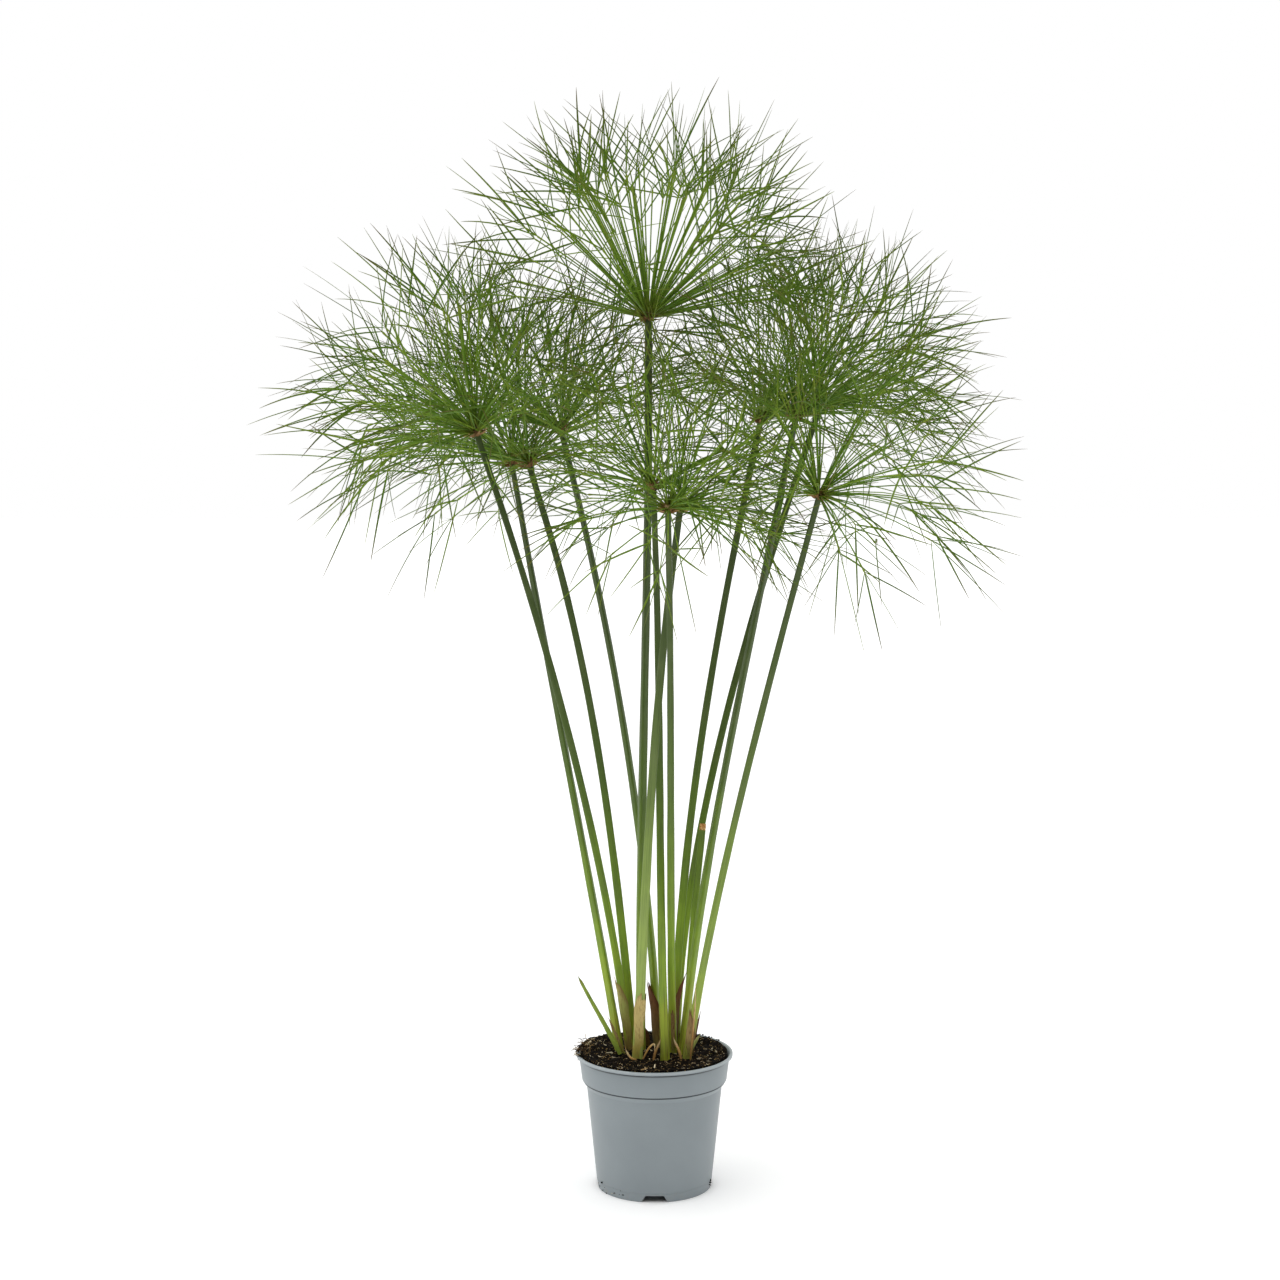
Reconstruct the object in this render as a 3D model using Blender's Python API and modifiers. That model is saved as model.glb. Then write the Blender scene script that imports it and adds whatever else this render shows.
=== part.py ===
"""Potted papyrus plant: twelve tall culms with mop-like umbels, in soil in a round nursery pot.

Metres, +Z up. The origin is the middle of the pot's base, where it rests, and -Y is the front.
"""

import math
import random
from dataclasses import dataclass

import bmesh
import bpy
import numpy as np
from mathutils import Vector

NAME = "potted_papyrus"
GAP = 0.0003  # clearance between neighbouring pieces
UP = Vector((0, 0, 1))

# Pot: a moulded 17 cm nursery pot with a deep rim band, a chamfer below it and a notched foot.
POT_HEIGHT = 0.147
RIM_RADIUS = 0.085
BAND_TOP_RADIUS = 0.0815
BAND_LOW_RADIUS = 0.0785
WAIST_RADIUS = 0.0734
BASE_RADIUS = 0.0620
WALL = 0.0016
LIP_HEIGHT = 0.0036
LIP_WIDTH = 0.0026
LIP_ROUND = 0.0006
BAND_LOW = 0.1180  # height of the band's lower edge
WAIST = 0.1110  # height where the chamfer meets the tapered wall
FOOT_HEIGHT = 0.0090
PAD_RADIUS = 0.0380  # flat middle of the base, which rests on the ground
PAD_SLOPE = 0.0020
POT_STEPS = 40
NOTCH_HEIGHT = 0.0074
NOTCH_TOP_WIDTH = 0.0194
NOTCH_LOW_WIDTH = 0.0282
NOTCH_COUNT = 4

# Soil: fills the pot to below the rim, mounded at the plant and heaped against the left of the rim.
SOIL_TOP = 0.1385
SOIL_MOUND = 0.0030
HEAP_HEIGHT = 0.0050
HEAP_PLACE = Vector((-0.062, 0.008))
HEAP_WIDTH = 0.024
LUMP_HEIGHT = 0.0007
SOCKET_DEPTH = 0.014
SOIL_RINGS = 4
SOIL_STEPS = 32

# Umbels
HUB_RADIUS = 0.0065
NODE_WIDTH = 0.0017  # thickness of a ray where it ends in its bracteoles
RAY_RADIUS = 0.0018  # half a ray's thickness near the hub, used to keep rays apart
TIP_RADIUS = 0.0008
RAYS_PER_UMBEL = 26
BRACT_COUNT = 5
BRACT_LENGTH = 0.016
TRIES_PER_RAY = 160
FIRST_JITTER = 0.06  # how far a ray may turn from its even place, and how much more at each new try
MORE_JITTER = 0.0015
OUTER_SHORTER = 0.16  # how much shorter the outermost rays are


@dataclass(frozen=True)
class Culm:
    """A stem from its foot in the soil to the hub of its umbel, and how the umbel spreads.

    bow and sway bend the stem sideways: bow in one arc, sway as an S. lean tips the umbel's
    middle away from upright, towards +X and +Y. opening is the angle from that middle to the
    outermost rays, and sag is how far the outer rays hang down.
    """

    foot: tuple
    hub: tuple
    bow: float
    sway: float
    foot_width: float
    top_width: float
    lean: tuple = (0.0, 0.0)
    opening: float = 95.0
    ray: float = 0.135
    bracteole: float = 0.100
    sag: float = 0.15


CULMS = (
    Culm((-0.027, 0.022), (-0.188, -0.030, 0.816), 0.0186, -0.0012, 0.0088, 0.0064,
         (-0.75, -0.20), 92, 0.140, 0.105, 0.22),
    Culm((-0.037, 0.009), (-0.159, 0.120, 0.785), 0.0005, -0.0018, 0.0088, 0.0062,
         (-0.45, 0.55), 92, 0.130, 0.100, 0.20),
    Culm((-0.023, 0.040), (-0.136, 0.030, 0.784), 0.0194, 0.0053, 0.0088, 0.0064,
         (-0.35, -0.35), 100, 0.130, 0.100, 0.25),
    Culm((0.005, 0.037), (-0.103, 0.100, 0.821), 0.0174, -0.0007, 0.0086, 0.0062,
         (-0.20, 0.45), 92, 0.130, 0.100, 0.15),
    Culm((-0.015, 0.023), (-0.007, 0.030, 0.939), 0.0, 0.0041, 0.0096, 0.0074,
         (0.00, 0.00), 88, 0.152, 0.104, 0.02),
    Culm((0.011, -0.014), (-0.002, -0.020, 0.760), 0.0004, 0.0032, 0.0090, 0.0062,
         (-0.15, -0.20), 95, 0.125, 0.095, 0.15),
    Culm((0.021, 0.014), (0.013, -0.120, 0.738), 0.0003, 0.0022, 0.0088, 0.0062,
         (0.00, -0.55), 100, 0.125, 0.095, 0.22),
    Culm((-0.018, -0.012), (0.026, -0.080, 0.738), -0.0072, -0.0027, 0.0104, 0.0064,
         (0.25, -0.30), 100, 0.125, 0.095, 0.20),
    Culm((0.023, 0.027), (0.116, 0.060, 0.831), -0.0174, 0.0044, 0.0088, 0.0062,
         (0.20, 0.10), 92, 0.130, 0.100, 0.15),
    Culm((0.030, 0.006), (0.150, 0.000, 0.833), -0.0082, 0.0054, 0.0088, 0.0062,
         (0.45, -0.15), 92, 0.132, 0.100, 0.18),
    Culm((0.023, 0.040), (0.186, 0.120, 0.848), -0.0269, 0.0067, 0.0086, 0.0062,
         (0.40, 0.40), 92, 0.124, 0.094, 0.18),
    Culm((0.034, -0.010), (0.168, -0.080, 0.751), -0.0080, 0.0024, 0.0088, 0.0062,
         (0.70, -0.40), 100, 0.128, 0.100, 0.28),
)
CULM_POINTS = 7
CORNER_TURN = math.radians(16)  # half the rounded part of each corner of the three-sided stems
RING_SIDES = 6  # sides of a sheath and of a stem's socket
SECTION_WIDTH = 1.8  # how wide a three-sided stem looks, in radii of the circle through its corners

# The stem that was cut off above the soil.
CUT_FOOT = Vector((0.036, 0.020, 0.0))
CUT_TOP = Vector((0.0535, 0.032, 0.391))
CUT_FOOT_WIDTH = 0.0080
CUT_TOP_WIDTH = 0.0066

# Papery sheaths round the feet of some culms: culm number, height above the soil, point, wall.
SHEATHS = (
    (8, 0.060, 0.016, 0.0007),
    (4, 0.058, 0.014, 0.0005),
    (1, 0.070, 0.016, 0.0005),
    (12, 0.042, 0.012, 0.0005),
)


@dataclass(frozen=True)
class Blade:
    """A small flat leaf or dry scale: its name, its colour, its width and its path."""

    name: str
    colour: str
    width: float
    path: tuple


BLADES = (
    Blade("young_leaf", "leaf", 0.0052, (
        (-0.0370, -0.0045, 0.1445), (-0.0525, -0.0055, 0.1750),
        (-0.0685, -0.0068, 0.2045), (-0.0830, -0.0080, 0.2325))),
    Blade("leaflet", "leaf", 0.0034, (
        (0.0365, 0.0030, 0.1430), (0.0405, 0.0022, 0.1525),
        (0.0452, 0.0012, 0.1602), (0.0499, 0.0000, 0.1675))),
    Blade("dry_leaf", "husk", 0.0040, (
        (0.0385, -0.0205, 0.1420), (0.041, -0.0245, 0.170),
        (0.0435, -0.0290, 0.205), (0.0440, -0.0330, 0.238))),
    Blade("scale_1", "husk", 0.0040, (
        (-0.0325, 0.0006, 0.1436), (-0.0382, 0.0004, 0.1570),
        (-0.0445, 0.0000, 0.1710), (-0.0506, -0.0010, 0.1857))),
    Blade("scale_2", "husk", 0.0036, (
        (-0.0194, -0.0235, 0.1438), (-0.0247, -0.0225, 0.1452),
        (-0.0291, -0.0205, 0.1506), (-0.0320, -0.0185, 0.1575))),
    Blade("scale_3", "husk", 0.0034, (
        (-0.0125, -0.0220, 0.1440), (-0.0059, -0.0220, 0.1565),
        (-0.0003, -0.0220, 0.1602), (-0.0004, -0.0222, 0.1490))),
    Blade("scale_4", "husk", 0.0040, (
        (0.0289, -0.0195, 0.1430), (0.0262, -0.0195, 0.1531),
        (0.0223, -0.0190, 0.1617), (0.0200, -0.0185, 0.1685))),
    Blade("scale_5", "husk", 0.0066, (
        (0.0226, 0.0205, 0.1436), (0.0249, 0.0205, 0.1860),
        (0.0283, 0.0205, 0.2066), (0.0360, 0.0205, 0.2318))),
)
BLADE_THICKNESS = 0.26  # of the width

COLOURS = {
    "plastic": ("#8b9499", 0.55),
    "soil": ("#3a2f28", 0.95),
    "stem": ("#56782f", 0.45),
    "umbel": ("#4f8a2c", 0.50),
    "cut": ("#8a7040", 0.60),
    "leaf": ("#6f9a35", 0.45),
    "husk": ("#7a5c3c", 0.80),
}


def linear(part):
    """One sRGB channel, 0 to 1, as linear light."""
    return part / 12.92 if part <= 0.04045 else ((part + 0.055) / 1.055) ** 2.4


def material(colour):
    """The Principled material for one entry of COLOURS."""
    found = bpy.data.materials.get(colour)
    if found:
        return found
    hex_value, roughness = COLOURS[colour]
    made = bpy.data.materials.new(colour)
    made.use_nodes = True
    shader = made.node_tree.nodes["Principled BSDF"]
    channels = [linear(int(hex_value[i:i + 2], 16) / 255) for i in (1, 3, 5)]
    shader.inputs["Base Color"].default_value = (*channels, 1)
    shader.inputs["Roughness"].default_value = roughness
    shader.inputs["Metallic"].default_value = 0.0
    return made


def new_collection(name):
    made = bpy.data.collections.new(name)
    bpy.context.scene.collection.children.link(made)
    return made


def new_object(name, data, collection, colour=None):
    """A new object of a mesh or curve, in its collection, with its material."""
    made = bpy.data.objects.new(name, data)
    collection.objects.link(made)
    if colour:
        data.materials.append(material(colour))
    return made


def helper(obj):
    """Marks a cutter or a guide, which isn't a piece of the plant."""
    obj.hide_render = True
    obj.display_type = "WIRE"
    return obj


def evaluated_mesh(obj, closed=True):
    """The mesh of an object after its modifiers, or of a curve with its caps welded on."""
    graph = bpy.context.evaluated_depsgraph_get()
    mesh = bpy.data.meshes.new_from_object(obj.evaluated_get(graph))
    mesh.transform(obj.matrix_world)
    bm = bmesh.new()
    bm.from_mesh(mesh)
    bmesh.ops.remove_doubles(bm, verts=bm.verts, dist=0.00001)
    if closed:
        bmesh.ops.recalc_face_normals(bm, faces=bm.faces)
    bm.to_mesh(mesh)
    bm.free()
    return mesh


def smooth(mesh, angle=35):
    mesh.shade_smooth()
    mesh.set_sharp_from_angle(angle=math.radians(angle))


def difference(obj, cutters):
    """Cuts a collection of closed meshes out of an object."""
    cut = obj.modifiers.new("cut_out", "BOOLEAN")
    cut.operation = "DIFFERENCE"
    cut.solver = "EXACT"
    cut.operand_type = "COLLECTION"
    cut.collection = cutters


def turned(name, profile, steps, collection, colour):
    """A profile of (radius, height) points, spun a full turn about the Z axis."""
    bm = bmesh.new()
    points = [bm.verts.new((radius, 0, height)) for radius, height in profile]
    for first, second in zip(points, points[1:]):
        bm.edges.new((first, second))
    mesh = bpy.data.meshes.new(name)
    bm.to_mesh(mesh)
    bm.free()
    made = new_object(name, mesh, collection, colour)
    screw = made.modifiers.new("turn", "SCREW")
    screw.axis = "Z"
    screw.steps = steps
    screw.render_steps = steps
    screw.use_merge_vertices = True
    screw.merge_threshold = 0.00001
    screw.use_smooth_shade = True
    return made


def inner_wall():
    """The pot's inside from the middle of its floor to just below the rim, as (radius, height)."""
    return [
        (0.0, WALL),
        (PAD_RADIUS - WALL / 2, WALL),
        (PAD_RADIUS + PAD_SLOPE - WALL / 2, FOOT_HEIGHT + WALL),
        (BASE_RADIUS - WALL, FOOT_HEIGHT + WALL),
        (WAIST_RADIUS - WALL, WAIST),
        (BAND_LOW_RADIUS - WALL, BAND_LOW),
        (BAND_TOP_RADIUS - WALL, POT_HEIGHT - LIP_HEIGHT),
    ]


def outer_wall():
    """The pot's rim, outside and underside, down to the flat pad in the middle of its base."""
    lip_low = POT_HEIGHT - LIP_HEIGHT
    return [
        (RIM_RADIUS - LIP_WIDTH, POT_HEIGHT),
        (RIM_RADIUS - LIP_ROUND, POT_HEIGHT),
        (RIM_RADIUS, POT_HEIGHT - LIP_ROUND),
        (RIM_RADIUS, lip_low + LIP_ROUND),
        (RIM_RADIUS - LIP_ROUND, lip_low),
        (BAND_TOP_RADIUS, lip_low - LIP_ROUND),
        (BAND_LOW_RADIUS, BAND_LOW),
        (WAIST_RADIUS, WAIST),
        (BASE_RADIUS, 0.0),
        (BASE_RADIUS - WALL, 0.0),
        (BASE_RADIUS - WALL, FOOT_HEIGHT),
        (PAD_RADIUS + PAD_SLOPE, FOOT_HEIGHT),
        (PAD_RADIUS, 0.0),
        (0.0, 0.0),
    ]


def make_notches(cutters):
    """Four wedges that cut the drain notches through the skirt of the foot."""
    low = -GAP
    slope = (NOTCH_LOW_WIDTH - NOTCH_TOP_WIDTH) / 2 / NOTCH_HEIGHT
    for number in range(NOTCH_COUNT):
        bm = bmesh.new()
        bmesh.ops.create_cube(bm, size=1)
        for vert in bm.verts:
            top = vert.co.z > 0
            height = NOTCH_HEIGHT if top else low
            half_width = NOTCH_TOP_WIDTH / 2 + (NOTCH_HEIGHT - height) * slope
            vert.co.x = math.copysign(half_width, vert.co.x)
            vert.co.y = -BASE_RADIUS + math.copysign(0.006, vert.co.y)
            vert.co.z = height
        mesh = bpy.data.meshes.new("notch")
        bm.to_mesh(mesh)
        bm.free()
        wedge = helper(new_object(f"notch_{number + 1}", mesh, cutters))
        wedge.rotation_euler.z = math.tau * number / NOTCH_COUNT


def make_pot(plant, cutters):
    pot = turned("pot", inner_wall() + outer_wall(), POT_STEPS, plant, "plastic")
    make_notches(cutters)
    difference(pot, cutters)


def soil_height(x, y):
    """The height of the soil's surface."""
    spread = math.hypot(x, y) / RIM_RADIUS
    heap = math.exp(-((Vector((x, y)) - HEAP_PLACE).length / HEAP_WIDTH) ** 2)
    lumps = math.sin(173 * x + 1.3) * math.sin(211 * y + 0.4)
    level = SOIL_TOP + SOIL_MOUND * (1 - spread ** 2)
    return level + HEAP_HEIGHT * heap + LUMP_HEIGHT * lumps


def highest_soil(x, y, radius):
    """The highest soil on a circle round a stem's foot."""
    turns = [math.tau * step / 8 for step in range(8)]
    return max(soil_height(x + radius * math.cos(turn), y + radius * math.sin(turn)) for turn in turns)


def make_soil(plant, sockets):
    """Soil inside the pot, a little clear of its wall, with a socket for each stem's foot."""
    wall = [(radius - GAP, height + GAP) for radius, height in inner_wall()]
    wall[0] = (0.0, wall[0][1])
    edge_share = (SOIL_TOP - BAND_LOW) / (POT_HEIGHT - LIP_HEIGHT - BAND_LOW)
    edge = wall[-2][0] + (wall[-1][0] - wall[-2][0]) * edge_share
    top = [(edge * ring / SOIL_RINGS, SOIL_TOP) for ring in range(SOIL_RINGS + 1)]
    profile = top + wall[-2::-1]
    soil = turned("soil", profile, SOIL_STEPS, plant, "soil")
    soil.data = evaluated_mesh(soil)
    soil.modifiers.clear()
    for vert in soil.data.vertices:
        if vert.co.z > SOIL_TOP - GAP:
            vert.co.z = soil_height(vert.co.x, vert.co.y)
    smooth(soil.data, 60)
    difference(soil, sockets)


def make_section(name, corners, cutters):
    """A closed outline of (x, y) points, one unit in radius, that a stem or leaf is drawn with."""
    curve = bpy.data.curves.new(name, "CURVE")
    curve.dimensions = "2D"
    spline = curve.splines.new("POLY")
    spline.points.add(len(corners) - 1)
    for point, (x, y) in zip(spline.points, reversed(corners)):
        point.co = (x, y, 0, 1)
    spline.use_cyclic_u = True
    return helper(new_object(name, curve, cutters))


def ring_corners():
    """Corners of a regular outline that goes round a circle of one unit."""
    reach = 1 / math.cos(math.pi / RING_SIDES)
    turns = [math.tau * corner / RING_SIDES for corner in range(RING_SIDES)]
    return [(reach * math.cos(turn), reach * math.sin(turn)) for turn in turns]


def stem_corners():
    """A triangle with rounded corners, as a papyrus stem is in section."""
    turns = [math.tau * corner / 3 + side * CORNER_TURN for corner in range(3) for side in (-1, 1)]
    return [(math.cos(turn), math.sin(turn)) for turn in turns]


def swept(name, points, radii, section, collection, colour=None, caps=True):
    """A curve object along the points, drawn with a section scaled to each point's radius."""
    curve = bpy.data.curves.new(name, "CURVE")
    curve.dimensions = "3D"
    curve.bevel_mode = "OBJECT"
    curve.bevel_object = section
    curve.use_fill_caps = caps
    spline = curve.splines.new("POLY")
    spline.points.add(len(points) - 1)
    for point, place, radius in zip(spline.points, points, radii):
        point.co = (*place, 1)
        point.radius = radius
    return new_object(name, curve, collection, colour)


def culm_point(culm, share):
    """A point on the culm's middle line: share is 0 at the foot's surface and 1 at the hub."""
    foot = Vector((*culm.foot, soil_height(*culm.foot)))
    place = foot.lerp(Vector(culm.hub), share)
    arc = 4 * share * (1 - share)
    place.x += arc * culm.bow + 2 * arc * (share - 0.5) * culm.sway
    return place


def culm_radius(culm, share):
    """The radius of the circle through the stem's corners, which is what a section is scaled by."""
    width = culm.foot_width + (culm.top_width - culm.foot_width) * max(share, 0)
    return width / SECTION_WIDTH


def culm_direction(culm, share=1.0):
    step = 0.02
    return (culm_point(culm, share) - culm_point(culm, share - step)).normalized()


def culm_length(culm):
    return (Vector(culm.hub) - culm_point(culm, 0)).length


def culm_shares(culm):
    """Where the culm's points are, from the bottom of its socket to just under its hub."""
    length = culm_length(culm)
    low = -SOCKET_DEPTH / length
    high = 1 - (HUB_RADIUS + GAP) / length
    return [low + (high - low) * step / (CULM_POINTS - 1) for step in range(CULM_POINTS)]


def make_culms(plant, section):
    for number, culm in enumerate(CULMS, 1):
        shares = culm_shares(culm)
        points = [culm_point(culm, share) for share in shares]
        radii = [culm_radius(culm, share) for share in shares]
        swept(f"culm_{number:02}", points, radii, section, plant, "stem")


def socket(name, low, high, radius, section, sockets):
    """A closed cutter round a stem's foot, a gap wider and deeper than the stem."""
    line = (high - low).normalized()
    curve = swept(name, (low - line * GAP, high), (radius, radius), section, sockets)
    mesh = evaluated_mesh(curve)
    bpy.data.objects.remove(curve)
    helper(new_object(name, mesh, sockets))


def make_sockets(section, sockets):
    """One socket for each culm and one for the cut stem."""
    for number, culm in enumerate(CULMS, 1):
        low = culm_shares(culm)[0]
        radius = culm_radius(culm, 0) + 2 * GAP
        low_point = culm_point(culm, low)
        high_point = culm_point(culm, -low)
        socket(f"socket_{number:02}", low_point, high_point, radius, section, sockets)
    foot, top = cut_stem_line()
    line = (top - foot).normalized()
    radius = CUT_FOOT_WIDTH / SECTION_WIDTH + 2 * GAP
    socket("socket_cut", foot, foot + 2 * SOCKET_DEPTH * line, radius, section, sockets)


def cut_stem_line():
    """The cut stem's ends: the bottom of its socket and the cut itself."""
    foot = CUT_FOOT.copy()
    foot.z = soil_height(foot.x, foot.y)
    line = (CUT_TOP - foot).normalized()
    return foot - line * SOCKET_DEPTH, CUT_TOP.copy()


def make_cut_stem(plant, section):
    foot, top = cut_stem_line()
    middle = foot.lerp(top, 0.5) + Vector((-0.003, 0, 0))
    widths = (CUT_FOOT_WIDTH, (CUT_FOOT_WIDTH + CUT_TOP_WIDTH) / 2, CUT_TOP_WIDTH)
    radii = [width / SECTION_WIDTH for width in widths]
    swept("cut_culm", (foot, middle, top), radii, section, plant, "cut")


def make_sheaths(plant, section):
    """Thin papery tubes round the feet of some culms, each drawn out to a point at its top."""
    for number, height, point, wall in SHEATHS:
        culm = CULMS[number - 1]
        low, high = [culm_point(culm, share) for share in culm_shares(culm)[:2]]
        ground = highest_soil(*culm.foot, culm_radius(culm, 0)) + 6 * GAP
        ends = [low.lerp(high, (level - low.z) / (high.z - low.z)) for level in (ground, ground + height)]
        line = (high - low).normalized()
        radius = culm_radius(culm, 0) + 2 * GAP
        curve = swept("sheath_line", ends, (radius, radius), section, plant, caps=False)
        mesh = evaluated_mesh(curve, closed=False)
        bpy.data.objects.remove(curve)
        for vert in mesh.vertices:
            if vert.co.z > ground + height / 2:
                side = math.atan2(vert.co.y - ends[1].y, vert.co.x - ends[1].x)
                vert.co += line * point * (1 + math.sin(side + number)) / 2
        sheath = new_object(f"sheath_{number:02}", mesh, plant, "husk")
        shell = sheath.modifiers.new("wall", "SOLIDIFY")
        shell.thickness = wall
        shell.offset = 1
        shell.use_even_offset = True


def make_blades(plant, section):
    """The young leaf, the leaflet and the dry scales at the foot of the clump."""
    for blade in BLADES:
        last = len(blade.path) - 1
        widest = 1 / last
        radii = []
        for step in range(last + 1):
            share = step / last
            taper = 0.7 + 0.3 * share / widest if share < widest else (1 - share) / (1 - widest)
            radii.append(blade.width / 2 * max(taper, 0.04))
        swept(blade.name, blade.path, radii, section, plant, blade.colour)


class Strokes:
    """The straight lines already placed, with their thicknesses, so that new ones keep clear."""

    def __init__(self):
        self.starts = np.empty((0, 3))
        self.ends = np.empty((0, 3))
        self.radii = np.empty(0)

    def add(self, lines):
        starts, ends, radii = zip(*lines)
        self.starts = np.vstack([self.starts, starts])
        self.ends = np.vstack([self.ends, ends])
        self.radii = np.append(self.radii, radii)

    def join(self, other):
        self.add(zip(other.starts, other.ends, other.radii))

    def room(self, start, end, radius):
        """The least space between the surfaces of a new line and of those placed."""
        if not len(self.radii):
            return math.inf
        start, end = np.array(start), np.array(end)
        along, lines = end - start, self.ends - self.starts
        offset = start - self.starts
        along_sq = along @ along
        lines_sq = np.einsum("ij,ij->i", lines, lines)
        both = lines @ along
        near = offset @ along
        far = np.einsum("ij,ij->i", lines, offset)
        share = np.clip((both * far - lines_sq * near) / (along_sq * lines_sq - both ** 2 + 1e-18), 0, 1)
        other = np.clip((both * share + far) / lines_sq, 0, 1)
        share = np.clip((both * other - near) / along_sq, 0, 1)
        between = offset + share[:, None] * along - other[:, None] * lines
        return float((np.linalg.norm(between, axis=1) - self.radii).min() - radius)


def spread_facets(facets, count):
    """The facets that stand furthest apart, so that the rays leave the hub evenly."""
    chosen = [facets[0]]
    while len(chosen) < min(count, len(facets)):
        rest = [facet for facet in facets if facet not in chosen]
        chosen.append(min(rest, key=lambda facet: max(facet.normal.dot(other.normal) for other in chosen)))
    return chosen


def umbel_middle(culm):
    """The direction of the middle of the umbel's spread."""
    return (culm_direction(culm) + Vector((*culm.lean, 0))).normalized()


def ray_lines(culm, facet, draw, jitter):
    """A ray from its facet to the node where it ends, and the tips of its three bracteoles."""
    root = facet.calc_center_median()
    shift = Vector([draw.gauss(0, jitter) for _ in range(3)])
    line = (facet.normal + shift).normalized()
    outer = 1 - max(line.dot(umbel_middle(culm)), 0)
    line.z -= culm.sag * (1 - line.z ** 2)
    line.normalize()
    node = root + line * culm.ray * draw.uniform(0.90, 1.04) * (1 - OUTER_SHORTER * outer)
    tips = []
    for vert in facet.verts:
        away = vert.co - root
        away = (away - line * away.dot(line)).normalized()
        spread = math.radians(draw.uniform(16, 40))
        course = line * math.cos(spread) - away * math.sin(spread)
        course.z -= 1.3 * culm.sag * (1 - course.z ** 2)
        tips.append(node + course.normalized() * culm.bracteole * draw.uniform(0.85, 1.05))
    return root, node, tips


def grow_ray(bm, facet, node, tips):
    """Draws a facet of the hub out to the node, and the end there out into three bracteoles.

    The end is turned square to the ray, so that every bracteole points away from it.
    """
    root = facet.calc_center_median()
    side = facet.edges[0].calc_length()
    line = (node - root).normalized()
    end = bmesh.ops.extrude_discrete_faces(bm, faces=[facet])["faces"][0]
    for vert in end.verts:
        away = vert.co - root
        vert.co = node + (away - line * away.dot(line)) * NODE_WIDTH / side
    opposite = dict(zip(end.verts, tips))
    for part in bmesh.ops.poke(bm, faces=[end])["faces"]:
        hidden = next(vert for vert in opposite if vert not in part.verts)
        peak = bmesh.ops.poke(bm, faces=[part])["verts"][0]
        peak.co = opposite[hidden]


def make_hub(culm):
    bm = bmesh.new()
    bmesh.ops.create_icosphere(bm, subdivisions=2, radius=HUB_RADIUS)
    bmesh.ops.translate(bm, verts=bm.verts, vec=culm.hub)
    bm.normal_update()
    return bm


def grow_bracts(bm, facets):
    """Short pointed bracts round the underside of the hub."""
    for facet in spread_facets(facets, BRACT_COUNT):
        line = facet.normal.copy()
        line.z *= 0.4
        root = facet.calc_center_median()
        peak = bmesh.ops.poke(bm, faces=[facet])["verts"][0]
        peak.co = root + line.normalized() * BRACT_LENGTH


def clear_of(strokes, lines):
    """Whether all the lines keep clear of those placed."""
    return all(strokes.room(*line) > 2 * GAP for line in lines)


def place_ray(culm, facet, draw, others, own):
    """A ray that keeps clear of the other umbels and of its own, or None where there is no room.

    Its lines are the ray itself, then its bracteoles. The rays of one hub meet at their roots, so
    only the bracteoles are held against the umbel's own lines.
    """
    for attempt in range(TRIES_PER_RAY):
        root, node, tips = ray_lines(culm, facet, draw, FIRST_JITTER + MORE_JITTER * attempt)
        lines = [(root, node, RAY_RADIUS)] + [(node, tip, TIP_RADIUS) for tip in tips]
        if clear_of(others, lines) and clear_of(own, lines[1:]):
            return lines
    return None


def make_umbel(number, culm, others, plant):
    """A hub with its rays and bracts, and the lines that they follow."""
    draw = random.Random(number)
    stem = culm_direction(culm)
    middle = umbel_middle(culm)
    nearest = math.cos(math.radians(culm.opening))
    bm = make_hub(culm)
    by_angle = sorted(bm.faces, key=lambda facet: -facet.normal.dot(middle))
    high = [facet for facet in by_angle if facet.normal.dot(middle) > nearest]
    low = [facet for facet in by_angle if facet not in high and -0.7 < facet.normal.dot(stem) < -0.1]
    own = Strokes()
    for facet in spread_facets(high, RAYS_PER_UMBEL):
        lines = place_ray(culm, facet, draw, others, own)
        if lines:
            own.add(lines)
            grow_ray(bm, facet, lines[0][1], [tip for _, tip, _ in lines[1:]])
    grow_bracts(bm, low)
    mesh = bpy.data.meshes.new(f"umbel_{number:02}")
    bm.to_mesh(mesh)
    bm.free()
    new_object(mesh.name, mesh, plant, "umbel")
    return own


def make_umbels(plant):
    """The umbels, each clear of the culms, of the other hubs and of the umbels before it."""
    placed = Strokes()
    for culm in CULMS:
        shares = culm_shares(culm)
        points = [culm_point(culm, share) for share in shares]
        radius = culm_radius(culm, 0)
        placed.add([(low, high, radius) for low, high in zip(points, points[1:])])
    hub_lines = [(culm.hub, Vector(culm.hub) + UP * GAP, HUB_RADIUS + BRACT_LENGTH) for culm in CULMS]
    for number, culm in enumerate(CULMS, 1):
        others = Strokes()
        others.join(placed)
        others.add([line for line in hub_lines if line[0] != culm.hub])
        placed.join(make_umbel(number, culm, others, plant))


def main():
    for obj in list(bpy.data.objects):
        bpy.data.objects.remove(obj)
    plant = new_collection(NAME)
    cutters = new_collection("notch_cutters")
    sockets = new_collection("socket_cutters")
    guides = new_collection("sections")
    stem_section = make_section("stem_section", stem_corners(), guides)
    ring_section = make_section("ring_section", ring_corners(), guides)
    blade_corners = [(1, 0), (0, BLADE_THICKNESS), (-1, 0), (0, -BLADE_THICKNESS)]
    blade_section = make_section("blade_section", blade_corners, guides)
    make_pot(plant, cutters)
    make_sockets(ring_section, sockets)
    make_soil(plant, sockets)
    make_culms(plant, stem_section)
    make_cut_stem(plant, stem_section)
    make_sheaths(plant, ring_section)
    make_blades(plant, blade_section)
    make_umbels(plant)


main()
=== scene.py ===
"""Potted papyrus: a nursery pot of potting mix with twelve tall culms and their mops of thin rays.

Metres, +Z up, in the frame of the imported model: the pot rests on z = 0 and its front is towards -Y.
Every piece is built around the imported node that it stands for, and stays where that node is.
"""

import logging
import math
from dataclasses import dataclass, field
from enum import Enum
from functools import partial
from typing import Callable, Sequence

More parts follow.
